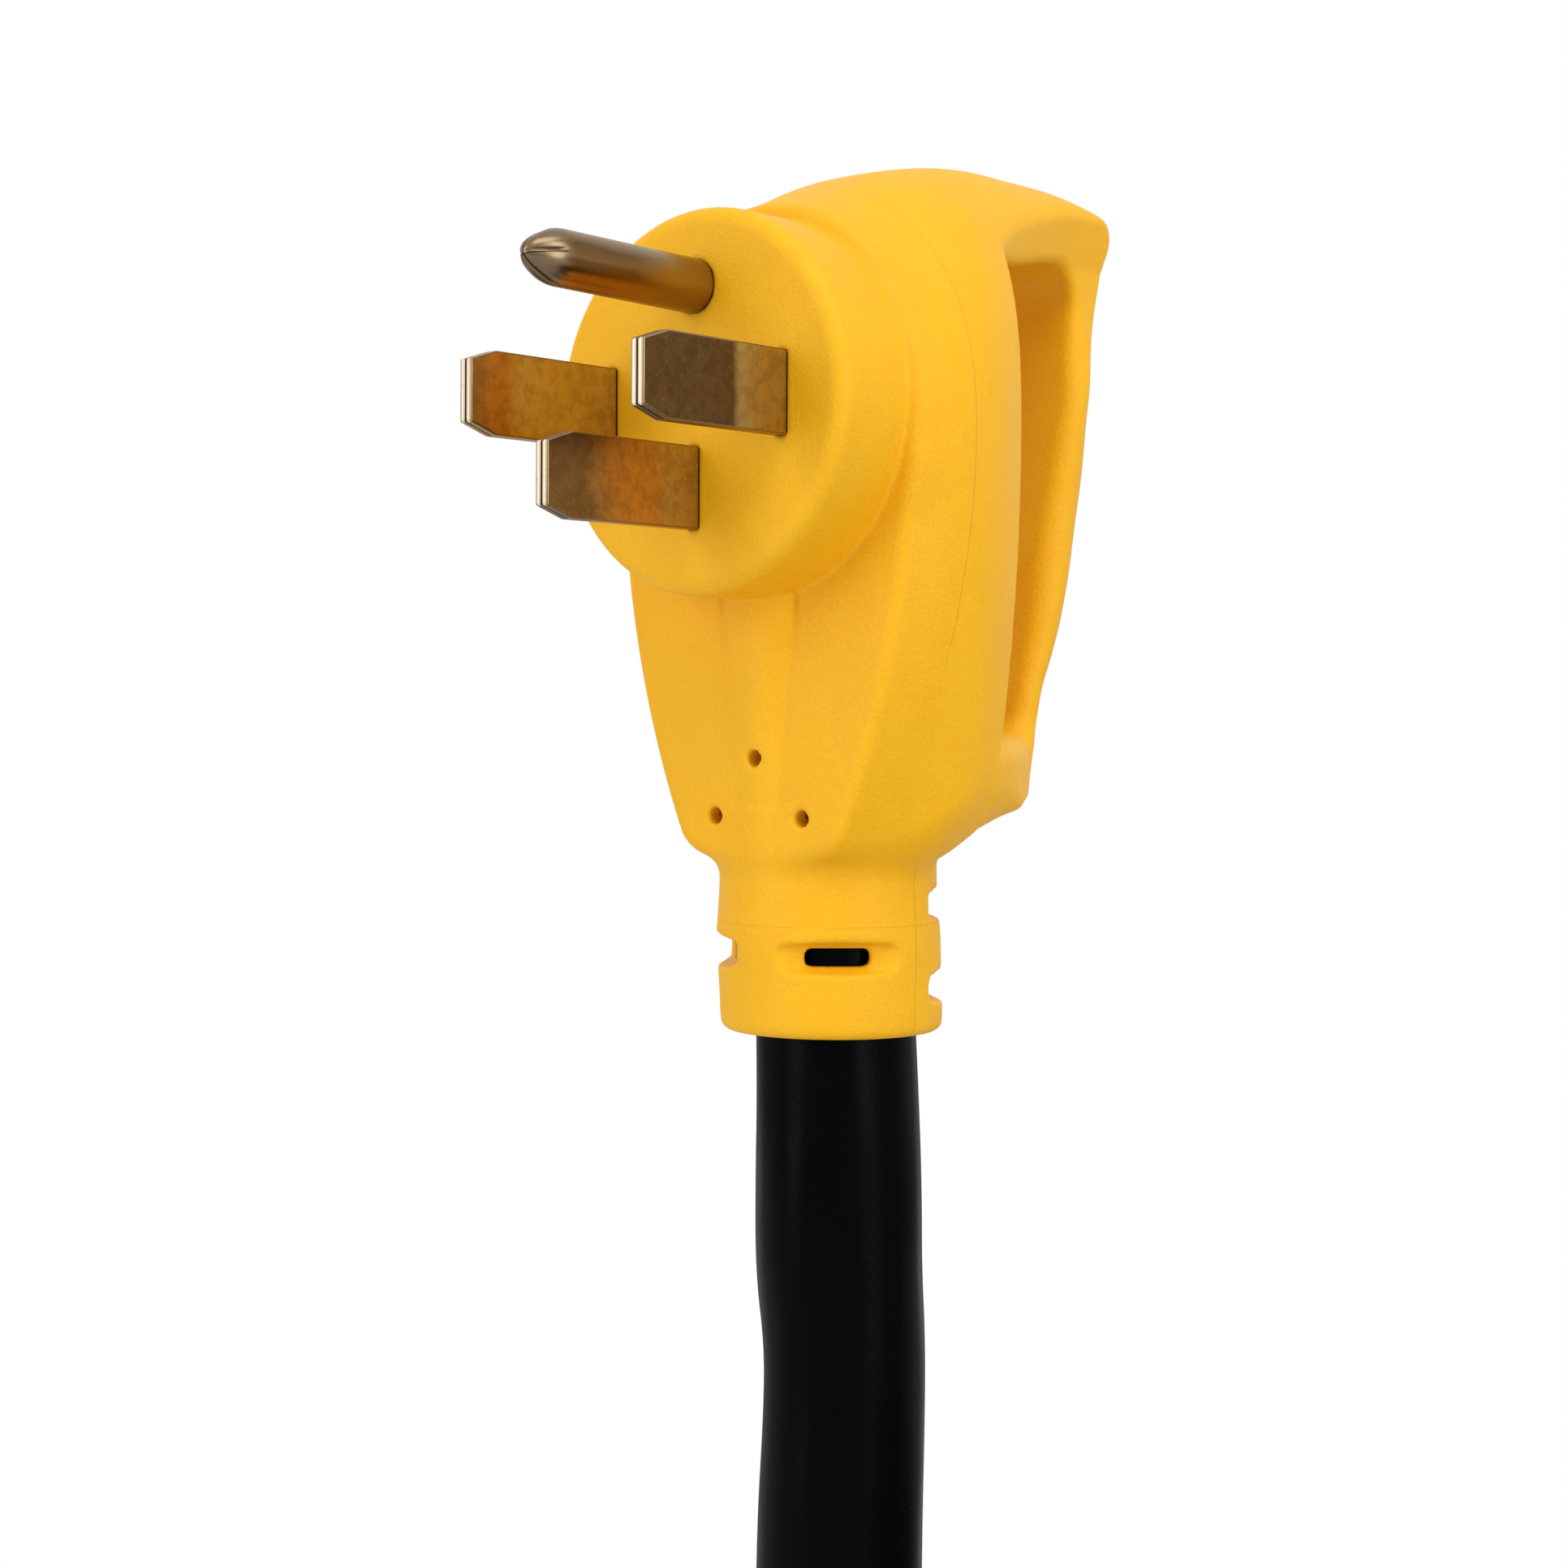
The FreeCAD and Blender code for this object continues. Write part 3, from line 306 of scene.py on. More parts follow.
def varied(a, b, radius):
    """Where two shapes overlap, with an edge whose rounding changes from place to place."""
    return (np.minimum(-radius, np.maximum(a, b))
            + np.hypot(np.maximum(a + radius, 0), np.maximum(b + radius, 0)))


def joined(a, b, blend):
    """Two shapes as one, with a soft blend in the corner between them."""
    share = np.clip(0.5 + 0.5 * (b - a) / blend, 0, 1)
    return b + (a - b) * share - blend * share * (1 - share)


def without(a, b, radius=0.0):
    return both(a, -b, radius)


def eased(value, low, high):
    """0 below low, 1 above high, and a soft step between them."""
    share = np.clip((value - low) / (high - low), 0, 1)
    return share * share * (3 - 2 * share)


def through(t, *stops):
    """A smooth line through (place, value) stops."""
    places = np.array([s[0] for s in stops], float)
    values = np.array([s[1] for s in stops], float)
    slopes = np.gradient(values, places)
    t = np.clip(t, places[0], places[-1])
    i = np.clip(np.searchsorted(places, t, side="right") - 1, 0, len(places) - 2)
    run = places[i + 1] - places[i]
    u = (t - places[i]) / run
    return ((2 * u ** 3 - 3 * u ** 2 + 1) * values[i] + (u ** 3 - 2 * u ** 2 + u) * run * slopes[i]
            + (3 * u ** 2 - 2 * u ** 3) * values[i + 1] + (u ** 3 - u ** 2) * run * slopes[i + 1])


def box(x, y, z, low, high, corner=0.0):
    """Distance from a box with rounded corners."""
    parts = [np.maximum(lo - v, v - hi) + corner for v, lo, hi in zip((x, y, z), low, high)]
    outside = np.sqrt(sum(np.maximum(p, 0) ** 2 for p in parts))
    return outside + np.minimum(np.maximum(np.maximum(parts[0], parts[1]), parts[2]), 0) - corner


def rounded_corners(corners):
    """Points of a closed outline whose corners (y, z, radius) are replaced with arcs."""
    points = []
    nearly_straight = 1.569
    for i, (y, z, radius) in enumerate(corners):
        spot = np.array((y, z), float)
        back = np.array(corners[i - 1][:2], float) - spot
        ahead = np.array(corners[(i + 1) % len(corners)][:2], float) - spot
        back, ahead = back / np.linalg.norm(back), ahead / np.linalg.norm(ahead)
        half = math.acos(np.clip(back @ ahead, -1, 1)) / 2
        if not radius or half > nearly_straight:
            points.append(spot)
            continue
        centre = spot + (back + ahead) / np.linalg.norm(back + ahead) * radius / math.sin(half)
        first, last = spot + back * radius / math.tan(half), spot + ahead * radius / math.tan(half)
        a0 = math.atan2(*(first - centre)[::-1])
        sweep = (math.atan2(*(last - centre)[::-1]) - a0 + math.pi) % (2 * math.pi) - math.pi
        for k in range(9):
            a = a0 + sweep * k / 8
            points.append(centre + radius * np.array((math.cos(a), math.sin(a))))
    return np.array(points)


def from_outline(y, z, corners):
    """Distance from a closed outline in the plane of y and z, less than 0 inside."""
    points = rounded_corners(corners)
    near = np.full(np.broadcast(y, z).shape, 1e9, np.float32)
    inside = np.zeros(near.shape, bool)
    for (y0, z0), (y1, z1) in zip(points, np.roll(points, -1, axis=0)):
        dy, dz = y1 - y0, z1 - z0
        share = np.clip(((y - y0) * dy + (z - z0) * dz) / (dy * dy + dz * dz + 1e-12), 0, 1)
        near = np.minimum(near, (y - y0 - share * dy) ** 2 + (z - z0 - share * dz) ** 2)
        if z0 != z1:
            inside ^= ((z0 > z) != (z1 > z)) & (y < y0 + (z - z0) * dy / dz)
    return np.where(inside, -1, 1) * np.sqrt(near)


def skin(field, start, step):
    """Points and four-sided faces of the surface where a grid of distances is 0."""
    shape = np.array(field.shape)
    inside = field < 0
    count = np.zeros(shape - 1, np.int8)
    corners = [(i, j, k) for i in (0, 1) for j in (0, 1) for k in (0, 1)]
    for i, j, k in corners:
        count += inside[i:shape[0] - 1 + i, j:shape[1] - 1 + j, k:shape[2] - 1 + k]
    cells = np.argwhere((count > 0) & (count < 8))
    number = np.full(shape - 1, -1, np.int32)
    number[tuple(cells.T)] = np.arange(len(cells))
    total, crossings = np.zeros((len(cells), 3)), np.zeros(len(cells))
    for a in corners:
        for axis in range(3):
            if a[axis]:
                continue
            b = tuple(v + (n == axis) for n, v in enumerate(a))
            da, db = field[tuple((cells + a).T)], field[tuple((cells + b).T)]
            cut = (da < 0) != (db < 0)
            share = np.where(cut, da / np.where(cut, da - db, 1), 0)
            spot = np.array(a, float) + share[:, None] * (np.arange(3) == axis)
            total += np.where(cut[:, None], spot, 0)
            crossings += cut
    points = (cells + total / crossings[:, None]) * step + start
    faces = []
    for axis in range(3):
        u, v = (axis + 1) % 3, (axis + 2) % 3
        first = np.take(inside, range(shape[axis] - 1), axis)
        second = np.take(inside, range(1, shape[axis]), axis)
        spots = np.argwhere(first != second)
        spots = spots[(spots[:, u] > 0) & (spots[:, v] > 0)]
        unit_u, unit_v = np.arange(3) == u, np.arange(3) == v
        ring = [number[tuple((spots - unit_u * du - unit_v * dv).T)]
                for du, dv in ((1, 1), (0, 1), (0, 0), (1, 0))]
        quad = np.stack(ring, 1)
        out = inside[tuple(spots.T)]
        faces.append(np.where(out[:, None], quad, quad[:, ::-1]))
    return points, np.concatenate(faces)


def quad_mesh(name, points, faces):
    mesh = bpy.data.meshes.new(name)
    mesh.vertices.add(len(points))
    mesh.vertices.foreach_set("co", (points * MM).astype(np.float32).ravel())
    mesh.loops.add(faces.size)
    mesh.loops.foreach_set("vertex_index", faces.astype(np.int32).ravel())
    mesh.polygons.add(len(faces))
    mesh.polygons.foreach_set("loop_start", np.arange(0, faces.size, 4, dtype=np.int32))
    mesh.update(calc_edges=True)
    mesh.validate()
    mesh.shade_smooth()
    return mesh


def ringed(name, rings, hollow=False):
    """A closed skin over rings of points in millimetres, with flat ends or back to the first ring."""
    count, last = len(rings[0]), len(rings) - 1
    faces = [] if hollow else [list(range(count)), [last * count + i for i in reversed(range(count))]]
    for k in range(last + hollow):
        ahead = (k + 1) % len(rings)
        for i in range(count):
            j = (i + 1) % count
            faces.append([k * count + i, ahead * count + i, ahead * count + j, k * count + j])
    mesh = bpy.data.meshes.new(name)
    mesh.from_pydata((np.concatenate(rings) * MM).tolist(), [], faces)
    mesh.shade_smooth()
    mesh.set_sharp_from_angle(angle=math.radians(40))
    return mesh


def ring_round(x, y, z, angles, out):
    """Points round a line along Y, at the given distances from it."""
    return np.stack((x + out * np.cos(angles), np.full(len(angles), y), z + out * np.sin(angles)), 1)


# Operators
class SHORE_OT_stage(bpy.types.Operator):
    """Floor, light and camera"""
    bl_idname = "shore.stage"
    bl_label = "Stage"

    def execute(self, context):
        scene = context.scene
        scene.view_settings.view_transform = "Standard"
        self.world(scene)
        self.floor()
        self.lamps()
        self.camera(scene)
        return {"FINISHED"}

    @staticmethod
    def white_behind(tree, strength, shader):
        """Mix a shader with white for what the camera, gloss and glass see."""
        path = tree.nodes.new("ShaderNodeLightPath")
        most = tree.nodes.new("ShaderNodeMath")
        most.operation = "MAXIMUM"
        tree.links.new(path.outputs["Is Camera Ray"], most.inputs[0])
        gloss = tree.nodes.new("ShaderNodeMath")
        gloss.operation = "MAXIMUM"
        tree.links.new(path.outputs["Is Glossy Ray"], gloss.inputs[0])
        tree.links.new(path.outputs["Is Transmission Ray"], gloss.inputs[1])
        tree.links.new(gloss.outputs[0], most.inputs[1])
        mix = tree.nodes.new("ShaderNodeMixShader")
        tree.links.new(most.outputs[0], mix.inputs[0])
        tree.links.new(shader, mix.inputs[1])
        white = tree.nodes.new("ShaderNodeBackground")
        white.inputs["Color"].default_value = (1, 1, 1, 1)
        white.inputs["Strength"].default_value = strength
        tree.links.new(white.outputs[0], mix.inputs[2])
        return mix.outputs[0]

    def world(self, scene):
        world = bpy.data.worlds.new("studio")
        scene.world = world
        world.use_nodes = True
        tree = world.node_tree
        sky = tree.nodes["Background"]
        sky.inputs["Color"].default_value = (1, 1, 1, 1)
        sky.inputs["Strength"].default_value = 0.56
        white = self.white_behind(tree, 1.0, sky.outputs[0])
        tree.links.new(white, tree.nodes["World Output"].inputs[0])

    @staticmethod
    def floor():
        mesh = bpy.data.meshes.new("floor")
        far, clearance = 6.0, 0.0003
        z = sizes().floor - clearance
        corners = [(-far, -far, z), (far, -far, z), (far, far, z), (-far, far, z)]
        mesh.from_pydata(corners, [], [(0, 1, 2, 3)])
        obj = bpy.data.objects.new("floor", mesh)
        bpy.context.scene.collection.objects.link(obj)
        f = Finish("pale_floor", Base_Color=(0.78, 0.78, 0.78), Roughness=0.75)
        path = f.node("ShaderNodeLightPath", {})
        distance = f.node("ShaderNodeVectorMath", {"operation": "LENGTH"},
                          f.node("ShaderNodeNewGeometry", {}).out("Position")).out("Value")
        seen = path.out("Is Camera Ray") * distance.rise(0.36, 0.62)
        f.set(Emission_Color=(1, 1, 1))
        glow = f.node("ShaderNodeEmission", {}, Color=(1, 1, 1), Strength=1.0).out()
        mixed = f.node("ShaderNodeMixShader", {}, seen, Value(f, f.shader.outputs[0]), glow).out()
        f.tree.links.new(mixed.socket, f.tree.nodes["Material Output"].inputs[0])
        mesh.materials.append(f.material)

    @staticmethod
    def lamps():
        aim = Vector((0.0, 0.03, -0.05))
        for name, spot, wide, tall, power in (("right", (1.15, -0.12, 0.25), 0.4, 1.1, 5.0),
                                              ("left", (-0.45, -1.1, 0.25), 0.4, 1.1, 5.0),
                                              ("top", (0.6, -0.4, 1.25), 1.0, 1.0, 9.5)):
            lamp = bpy.data.lights.new(name, "AREA")
            lamp.shape = "RECTANGLE"
            lamp.size = wide
            lamp.size_y = tall
            lamp.energy = power
            obj = bpy.data.objects.new(name, lamp)
            bpy.context.scene.collection.objects.link(obj)
            obj.location = spot
            obj.rotation_euler = (aim - Vector(spot)).to_track_quat("-Z", "Y").to_euler()

    @staticmethod
    def camera(scene):
        data = bpy.data.cameras.new("photo_view")
        data.lens = 59.63
        data.sensor_width = 36
        data.clip_start = 0.01
        data.clip_end = 30
        obj = bpy.data.objects.new("photo_view", data)
        scene.collection.objects.link(obj)
        ahead = Vector((-0.65072, 0.75886, -0.02648)).normalized()
        right = Vector((ahead.y, -ahead.x, 0)).normalized()
        up = right.cross(ahead)
        roll = math.radians(0.35)
        right, up = (right * math.cos(roll) + up * math.sin(roll),
                     up * math.cos(roll) - right * math.sin(roll))
        turn = Matrix((right, up, -ahead)).transposed()
        obj.matrix_world = Matrix.Translation((0.25487, -0.27660, -0.04517)) @ turn.to_4x4()
        scene.camera = obj


class SHORE_OT_cord(bpy.types.Operator):
    """The free cord: from the plug down to the floor, the coil there, and up to the connector"""
    bl_idname = "shore.cord"
    bl_label = "Cord"

    def execute(self, context):
        radius = sizes().diameter / 2
        points = self.route()
        curve = bpy.data.curves.new("cord", "CURVE")
        curve.dimensions = "3D"
        spline = curve.splines.new("NURBS")
        spline.points.add(len(points) - 1)
        for point, (place, share) in zip(spline.points, points):
            point.co = (*(place * MM), 1)
            point.radius = share
        spline.order_u = 3
        spline.use_endpoint_u = True
        spline.resolution_u = 8
        curve.bevel_depth = radius
        curve.bevel_resolution = 8
        curve.use_fill_caps = True
        cord = bpy.data.objects.new("cord", curve)
        context.scene.collection.objects.link(cord)
        curve.materials.append(jacket())
        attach(cord, "cord")
        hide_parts("cord_drop", "cord_coil", "cord_tail")
        on_it = [o for n, o in nodes.items() if n.startswith(("socket_", "tail_wire_"))]
        on_it += [nodes[n] for n in ("connector_face", "connector_core", "connector_cord_end", "face_seal",
                                     "lock_ring", "ring_clip")]
        on_it.append(bpy.data.objects["connector_shell"])
        return {"FINISHED"}

    @staticmethod
    def route():
        """The route's points in millimetres, each with its share of the cord's radius."""
        start = CORD_EXIT / MM
        points = [(start + Vector((0.5, 0.3, 1.0)), 0.955), (start + Vector((0.75, 0.6, -10)), 0.97),
                  (start + Vector((0.9, 0.75, -24)), 1.0), (start + Vector((1.0, 0.8, -37)), 1.0),
                  (start + Vector((1.75, 1.45, -48)), 0.97), (start + Vector((1.75, 1.5, -60)), 0.97),
                  (start + Vector((1.2, 1.05, -80)), 1.0), (start + Vector((1.2, 1.05, -113.9)), 1.0)]
        for tilt, run in ((24, 77), (54, 78), (84, 77)):
            a = math.radians(tilt)
            points.append((points[-1][0] + Vector((run * math.sin(a), 0, -run * math.cos(a))), 1.0))
        cord_radius, ring_radius, air = 13.0, 38.5, 0.4
        low = sizes().floor / MM + cord_radius
        points[-1][0].z = low
        points.append((points[-1][0] + Vector((38, 0, 0)), 1.0))
        inner, pitch = 123.6, 26.8
        outer = inner + 2 * pitch
        centre = points[-1][0] + Vector((25, outer + pitch, 0))
        first_turn, last_turn = 270, 1656
        # angle, radius and height of the turns, as places that a steady spiral passes
        track = [(first_turn, outer + pitch, 0), (360, outer, 0), (450, outer - pitch / 2, 0),
                 (540, outer - pitch, 0), (720, outer - pitch, 0), (810, inner + pitch / 2, 0),
                 (900, inner, 0), (990, inner, pitch / 2), (1080, inner, pitch),
                 (1170, inner + pitch / 2, pitch), (1260, inner + pitch, pitch),
                 (1440, inner + pitch, pitch), (1530, outer - pitch / 2, pitch),
                 (1620, outer, pitch), (last_turn, outer, pitch)]
        step = 18
        swell = 1 / math.cos(math.radians(step / 2)) ** 0.9
        angles = np.arange(first_turn + step / 2, last_turn, step)
        radii = np.interp(angles, [t[0] for t in track], [t[1] for t in track])
        heights = np.interp(angles, [t[0] for t in track], [t[2] for t in track])
        for angle, radius, height in zip(angles, radii, heights):
            a = math.radians(angle)
            out = radius * swell
            points.append((centre + Vector((out * math.cos(a), out * math.sin(a), height)), 1.0))
        a = math.radians(last_turn)
        ahead = Vector((-math.sin(a), math.cos(a), 0))
        end = centre + Vector((outer * math.cos(a), outer * math.sin(a), pitch)) + ahead * 26
        points.append((end, 1.0))
        rise = cord_radius + ring_radius + air
        for turn, share, run in ((0, 0, 60), (1, 0.125, 62), (2, 0.228, 62), (3, 0.294, 62), (4, 0.228, 62),
                                 (5, 0.125, 62), (6, 0, 60)):
            up = share * rise
            flat = math.sqrt(run ** 2 - up ** 2)
            a = math.radians(last_turn + 90 + 24 * turn)
            points.append((points[-1][0] + Vector((flat * math.cos(a), flat * math.sin(a), up)), 1.0))
        return points


class SHORE_OT_plug(bpy.types.Operator):
    """The plug's moulded yellow cover with its handle, and the strain relief under it"""
    bl_idname = "shore.plug"
    bl_label = "Plug cover"

    def execute(self, context):
        step = 0.5
        low, high = np.array((0.25, -1.25, -95.25)), np.array((34.0, 95.0, 43.5))
        axes = [np.arange(a, b, step, dtype=np.float32) for a, b in zip(low, high)]
        x, y, z = axes[0][:, None, None], axes[1][None, :, None], axes[2][None, None, :]
        half = self.shape(x, y, z)
        field = np.concatenate((half[::-1], half))
        points, faces = skin(field, np.array((-axes[0][-1], low[1], low[2])), step)
        cover = new_piece("plug_cover", quad_mesh("plug_cover", points, faces), yellow_cover())
        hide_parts("plug_body", "plug_strain_relief")
        return {"FINISHED"}

    def shape(self, x, y, z):
        section = self.section(x, y, z)
        housing = joined(self.housing(x, y, z, section), self.nose(x, y, z), 0.3)
        handle = self.handle(x, y, z, section)
        solid = joined(np.minimum(housing, handle), self.neck(x, y, z), 2.2)
        for height, angle in ((-73.8, 45), (-81.2, -45), (-86.4, 45)):
            solid = without(solid, self.slot(x, y, z, height, angle), 0.3)
        for across, up in ((0, -51.6), (8.5, -60.4)):
            solid = without(solid, both(np.hypot(x - across, z - up) - 1.3, y - 18.5), 0.15)
        return self.hollow(x, y, z, solid)

    @staticmethod
    def section(x, y, z):
        """Cross-sections from the face to the handle's end: a dome over bowed sides and a rounded floor."""
        middle = -4.0
        half = through(y, (12, 28.6), (14.2, 29.4), (18, 30.7), (24, 31.9), (28.5, 32), (33, 31.3),
                       (42, 28.2), (50, 26), (60, 24.4), (80, 24), (96, 24))
        top = through(y, (12, 29.6), (16.7, 31), (24, 33.8), (33, 37.3), (42, 39.6), (52, 41), (62, 41.2),
                      (74, 41), (84, 39.6), (96, 36.8))
        power = through(y, (12, 2), (20, 2.05), (30, 2.4), (42, 2.8), (60, 3), (96, 3.3))
        across = np.maximum(x / half, 1e-4)
        up = np.maximum((z - middle) / (top - middle), 1e-4)
        total = across ** power + up ** power
        slope = total ** (1 / power - 1) * np.hypot(across ** (power - 1) / half,
                                                    up ** (power - 1) / (top - middle))
        bow = through(y, (12, 147), (24, 147), (33, 230), (42, 330))
        side = x - (half - bow + np.sqrt(bow ** 2 - (np.minimum(z, middle) - middle) ** 2))
        dome = np.where(z > middle, (total ** (1 / power) - 1) / slope, side)
        dome = dome + eased(z, -8, -20) * eased(y, 23, 15)
        corner = through(y, (12, 1.6), (20, 2.2), (28, 4.5), (36, 8), (44, 9), (50, 6), (56, 3),
                         (62, 1.6), (96, 1.6))
        under = through(y, (12, -68), (28, -68), (36, -67.2), (42, -65.4), (47, -63.2), (52, -61.1),
                        (57, -59.6), (66, -58.2), (96, -58.2))
        cone = -68 + 0.5 * (np.hypot(x, y - CORD_BACK) - 17)
        floor = np.maximum(under, cone * eased(y, 52, 40) - 70 * eased(y, 40, 52))
        return varied(dome, (floor - z) / 1.1, corner)

    @staticmethod
    def housing(x, y, z, section):
        """Two front panels beside a raised middle that runs down into the neck. The back is flat."""
        width = through(z, (-66, 3.9), (-58, 4.3), (-40, 6.2), (-26, 7.7))
        panel = width - x + 0 * z
        ridge = through(z, (-80, 14.2), (-66, 14.2), (-56, 13.7), (-50, 13.3), (-36, 12.2), (-26, 11.7))
        bend = through(z, (-80, 16.9), (-66, 16.9), (-52, 11), (-26, 10))
        ridge = ridge + bend - np.sqrt(bend ** 2 - np.minimum(x, 9) ** 2)
        front = 14.4 + (ridge - 14.4) * eased(panel, -0.25, 0.25) * eased(z, -16, -20)
        body = both(section, front - y, 1.5)
        return both(body, y - 42, 0.6)

    @staticmethod
    def nose(x, y, z):
        barrel = np.hypot(x, z) - 28
        return np.maximum(both(barrel, -y, 2.4), y - 22)

    @staticmethod
    def handle(x, y, z, section):
        """A strap from the dome's rear that bends down into a grip and comes back in under the opening."""
        outer = from_outline(y[0], z[0], ((30, 50, 0), (86.6, 50, 0), (88.9, 36, 10), (86.2, 25, 14),
                                         (83.9, 15, 40), (82.8, -6, 60), (80.6, -20, 60), (77.4, -33, 90),
                                         (66.7, -53, 16), (64.5, -60, 0), (64.5, -80, 0), (30, -80, 0)))
        window = from_outline(y[0], z[0], ((36, 22, 0), (55, 25, 40), (66, 27.2, 40), (79.3, 28.8, 6),
                                          (75.2, 5, 90), (69.6, -31, 90), (64.8, -47.2, 4), (36, -48.4, 0)))
        high = through(y, (30, 27), (42, 24.6), (48, 22.0), (56, 19.6), (66, 17.3), (76, 15.5),
                       (86, 14.3), (95, 13.6))
        low = through(y, (30, 29), (40, 26.3), (42, 25.4), (48, 22.7), (54, 19.8), (60, 16.6),
                      (65, 13.8), (76, 13.5))
        width = low + (high - low) * eased(z, -20, 15)
        crease = through(y, (36, 24), (42, 26.3), (50, 29.6), (60, 32.6), (70, 34.8), (80, 36), (96, 36.5))
        width = width - 0.26 * np.clip(crease - z, 0, 8) * eased(z, 6, 24)
        rear = varied(outer[None], section, 0.02 + 5 * eased(z, 0, 20) + 0.9 * eased(z, -48, -54))
        body = varied(rear, x - width, 1.0 + 5.0 * eased(z, 28, 2) * eased(z, -54, -38))
        return varied(body, -window[None], 1.5 + 2.0 * eased(z, 27, 12) + 1.2 * eased(z, -40, -48))

    @staticmethod
    def neck(x, y, z):
        """The round neck and its collar, which the cord leaves."""
        radius = through(z, (-95, 16.7), (-92, 17.05), (-86, 17.15), (-78, 17.2), (-75, 16.95), (-50, 16.9))
        middle = through(z, (-95, 32.3), (-90, 32.1), (-80, 31.4), (-70, 31.2), (-50, 31.2))
        tube = np.hypot(x, y - middle) - radius
        return both(both(tube, RELIEF_END - z, 1.3), z + 60)

    @staticmethod
    def slot(x, y, z, height, angle):
        """A flat-bottomed pocket with a smaller hole through its floor to the cord's jacket."""
        a = math.radians(angle)
        collar_middle, floor_out = 31.4, 14.4
        out = x * math.cos(a) + (y - collar_middle) * math.sin(a)
        along = -x * math.sin(a) + (y - collar_middle) * math.cos(a)
        flare = 0.28 * np.clip(out - floor_out, 0, 3)
        pocket = SHORE_OT_plug.rounded(along, z - height, 9.3, 1.8 + flare, 1.5)
        hole = SHORE_OT_plug.rounded(along, z - height, 4.95, 1.4, 1.1)
        return np.minimum(np.maximum(pocket, floor_out - out), np.maximum(hole, 11 - out))

    @staticmethod
    def rounded(across, up, half_long, half_tall, corner):
        """Distance from a rectangle with rounded corners."""
        a, b = abs(across) - half_long + corner, abs(up) - half_tall + corner
        return np.hypot(np.maximum(a, 0), np.maximum(b, 0)) + np.minimum(np.maximum(a, b), 0) - corner

    @staticmethod
    def hollow(x, y, z, solid):
        """The room of the contacts, their carrier, the core and the cord's jacket."""
        for low, high in (((15.6, -2, -5.8), (17.6, 4, 5.8)), ((-1, -2, -18.3), (1, 4, -6.7)),
                          ((-1, 15, 7), (16.2, 39.6, 21.3)), ((-1, 15.8, -30.2), (22.2, 39.6, 8.2)),
                          ((-1, 16.5, -46.2), (17.7, 39.6, -29)), ((-1, 17.6, -60.2), (13.7, 39.6, -45))):
            solid = np.maximum(solid, -box(x, y, z, low, high))
        room = both(np.hypot(x, z) - 22.1, both(2.9 - y, y - 15.2))
        pin = both(np.hypot(x, z - PIN_HEIGHT) - 3.7, y - 4)
        bore = both(np.hypot(x, y - CORD_BACK) - 13.1, z + 60)
        for gap in (room, pin, bore):
            solid = np.maximum(solid, -gap)
        return solid


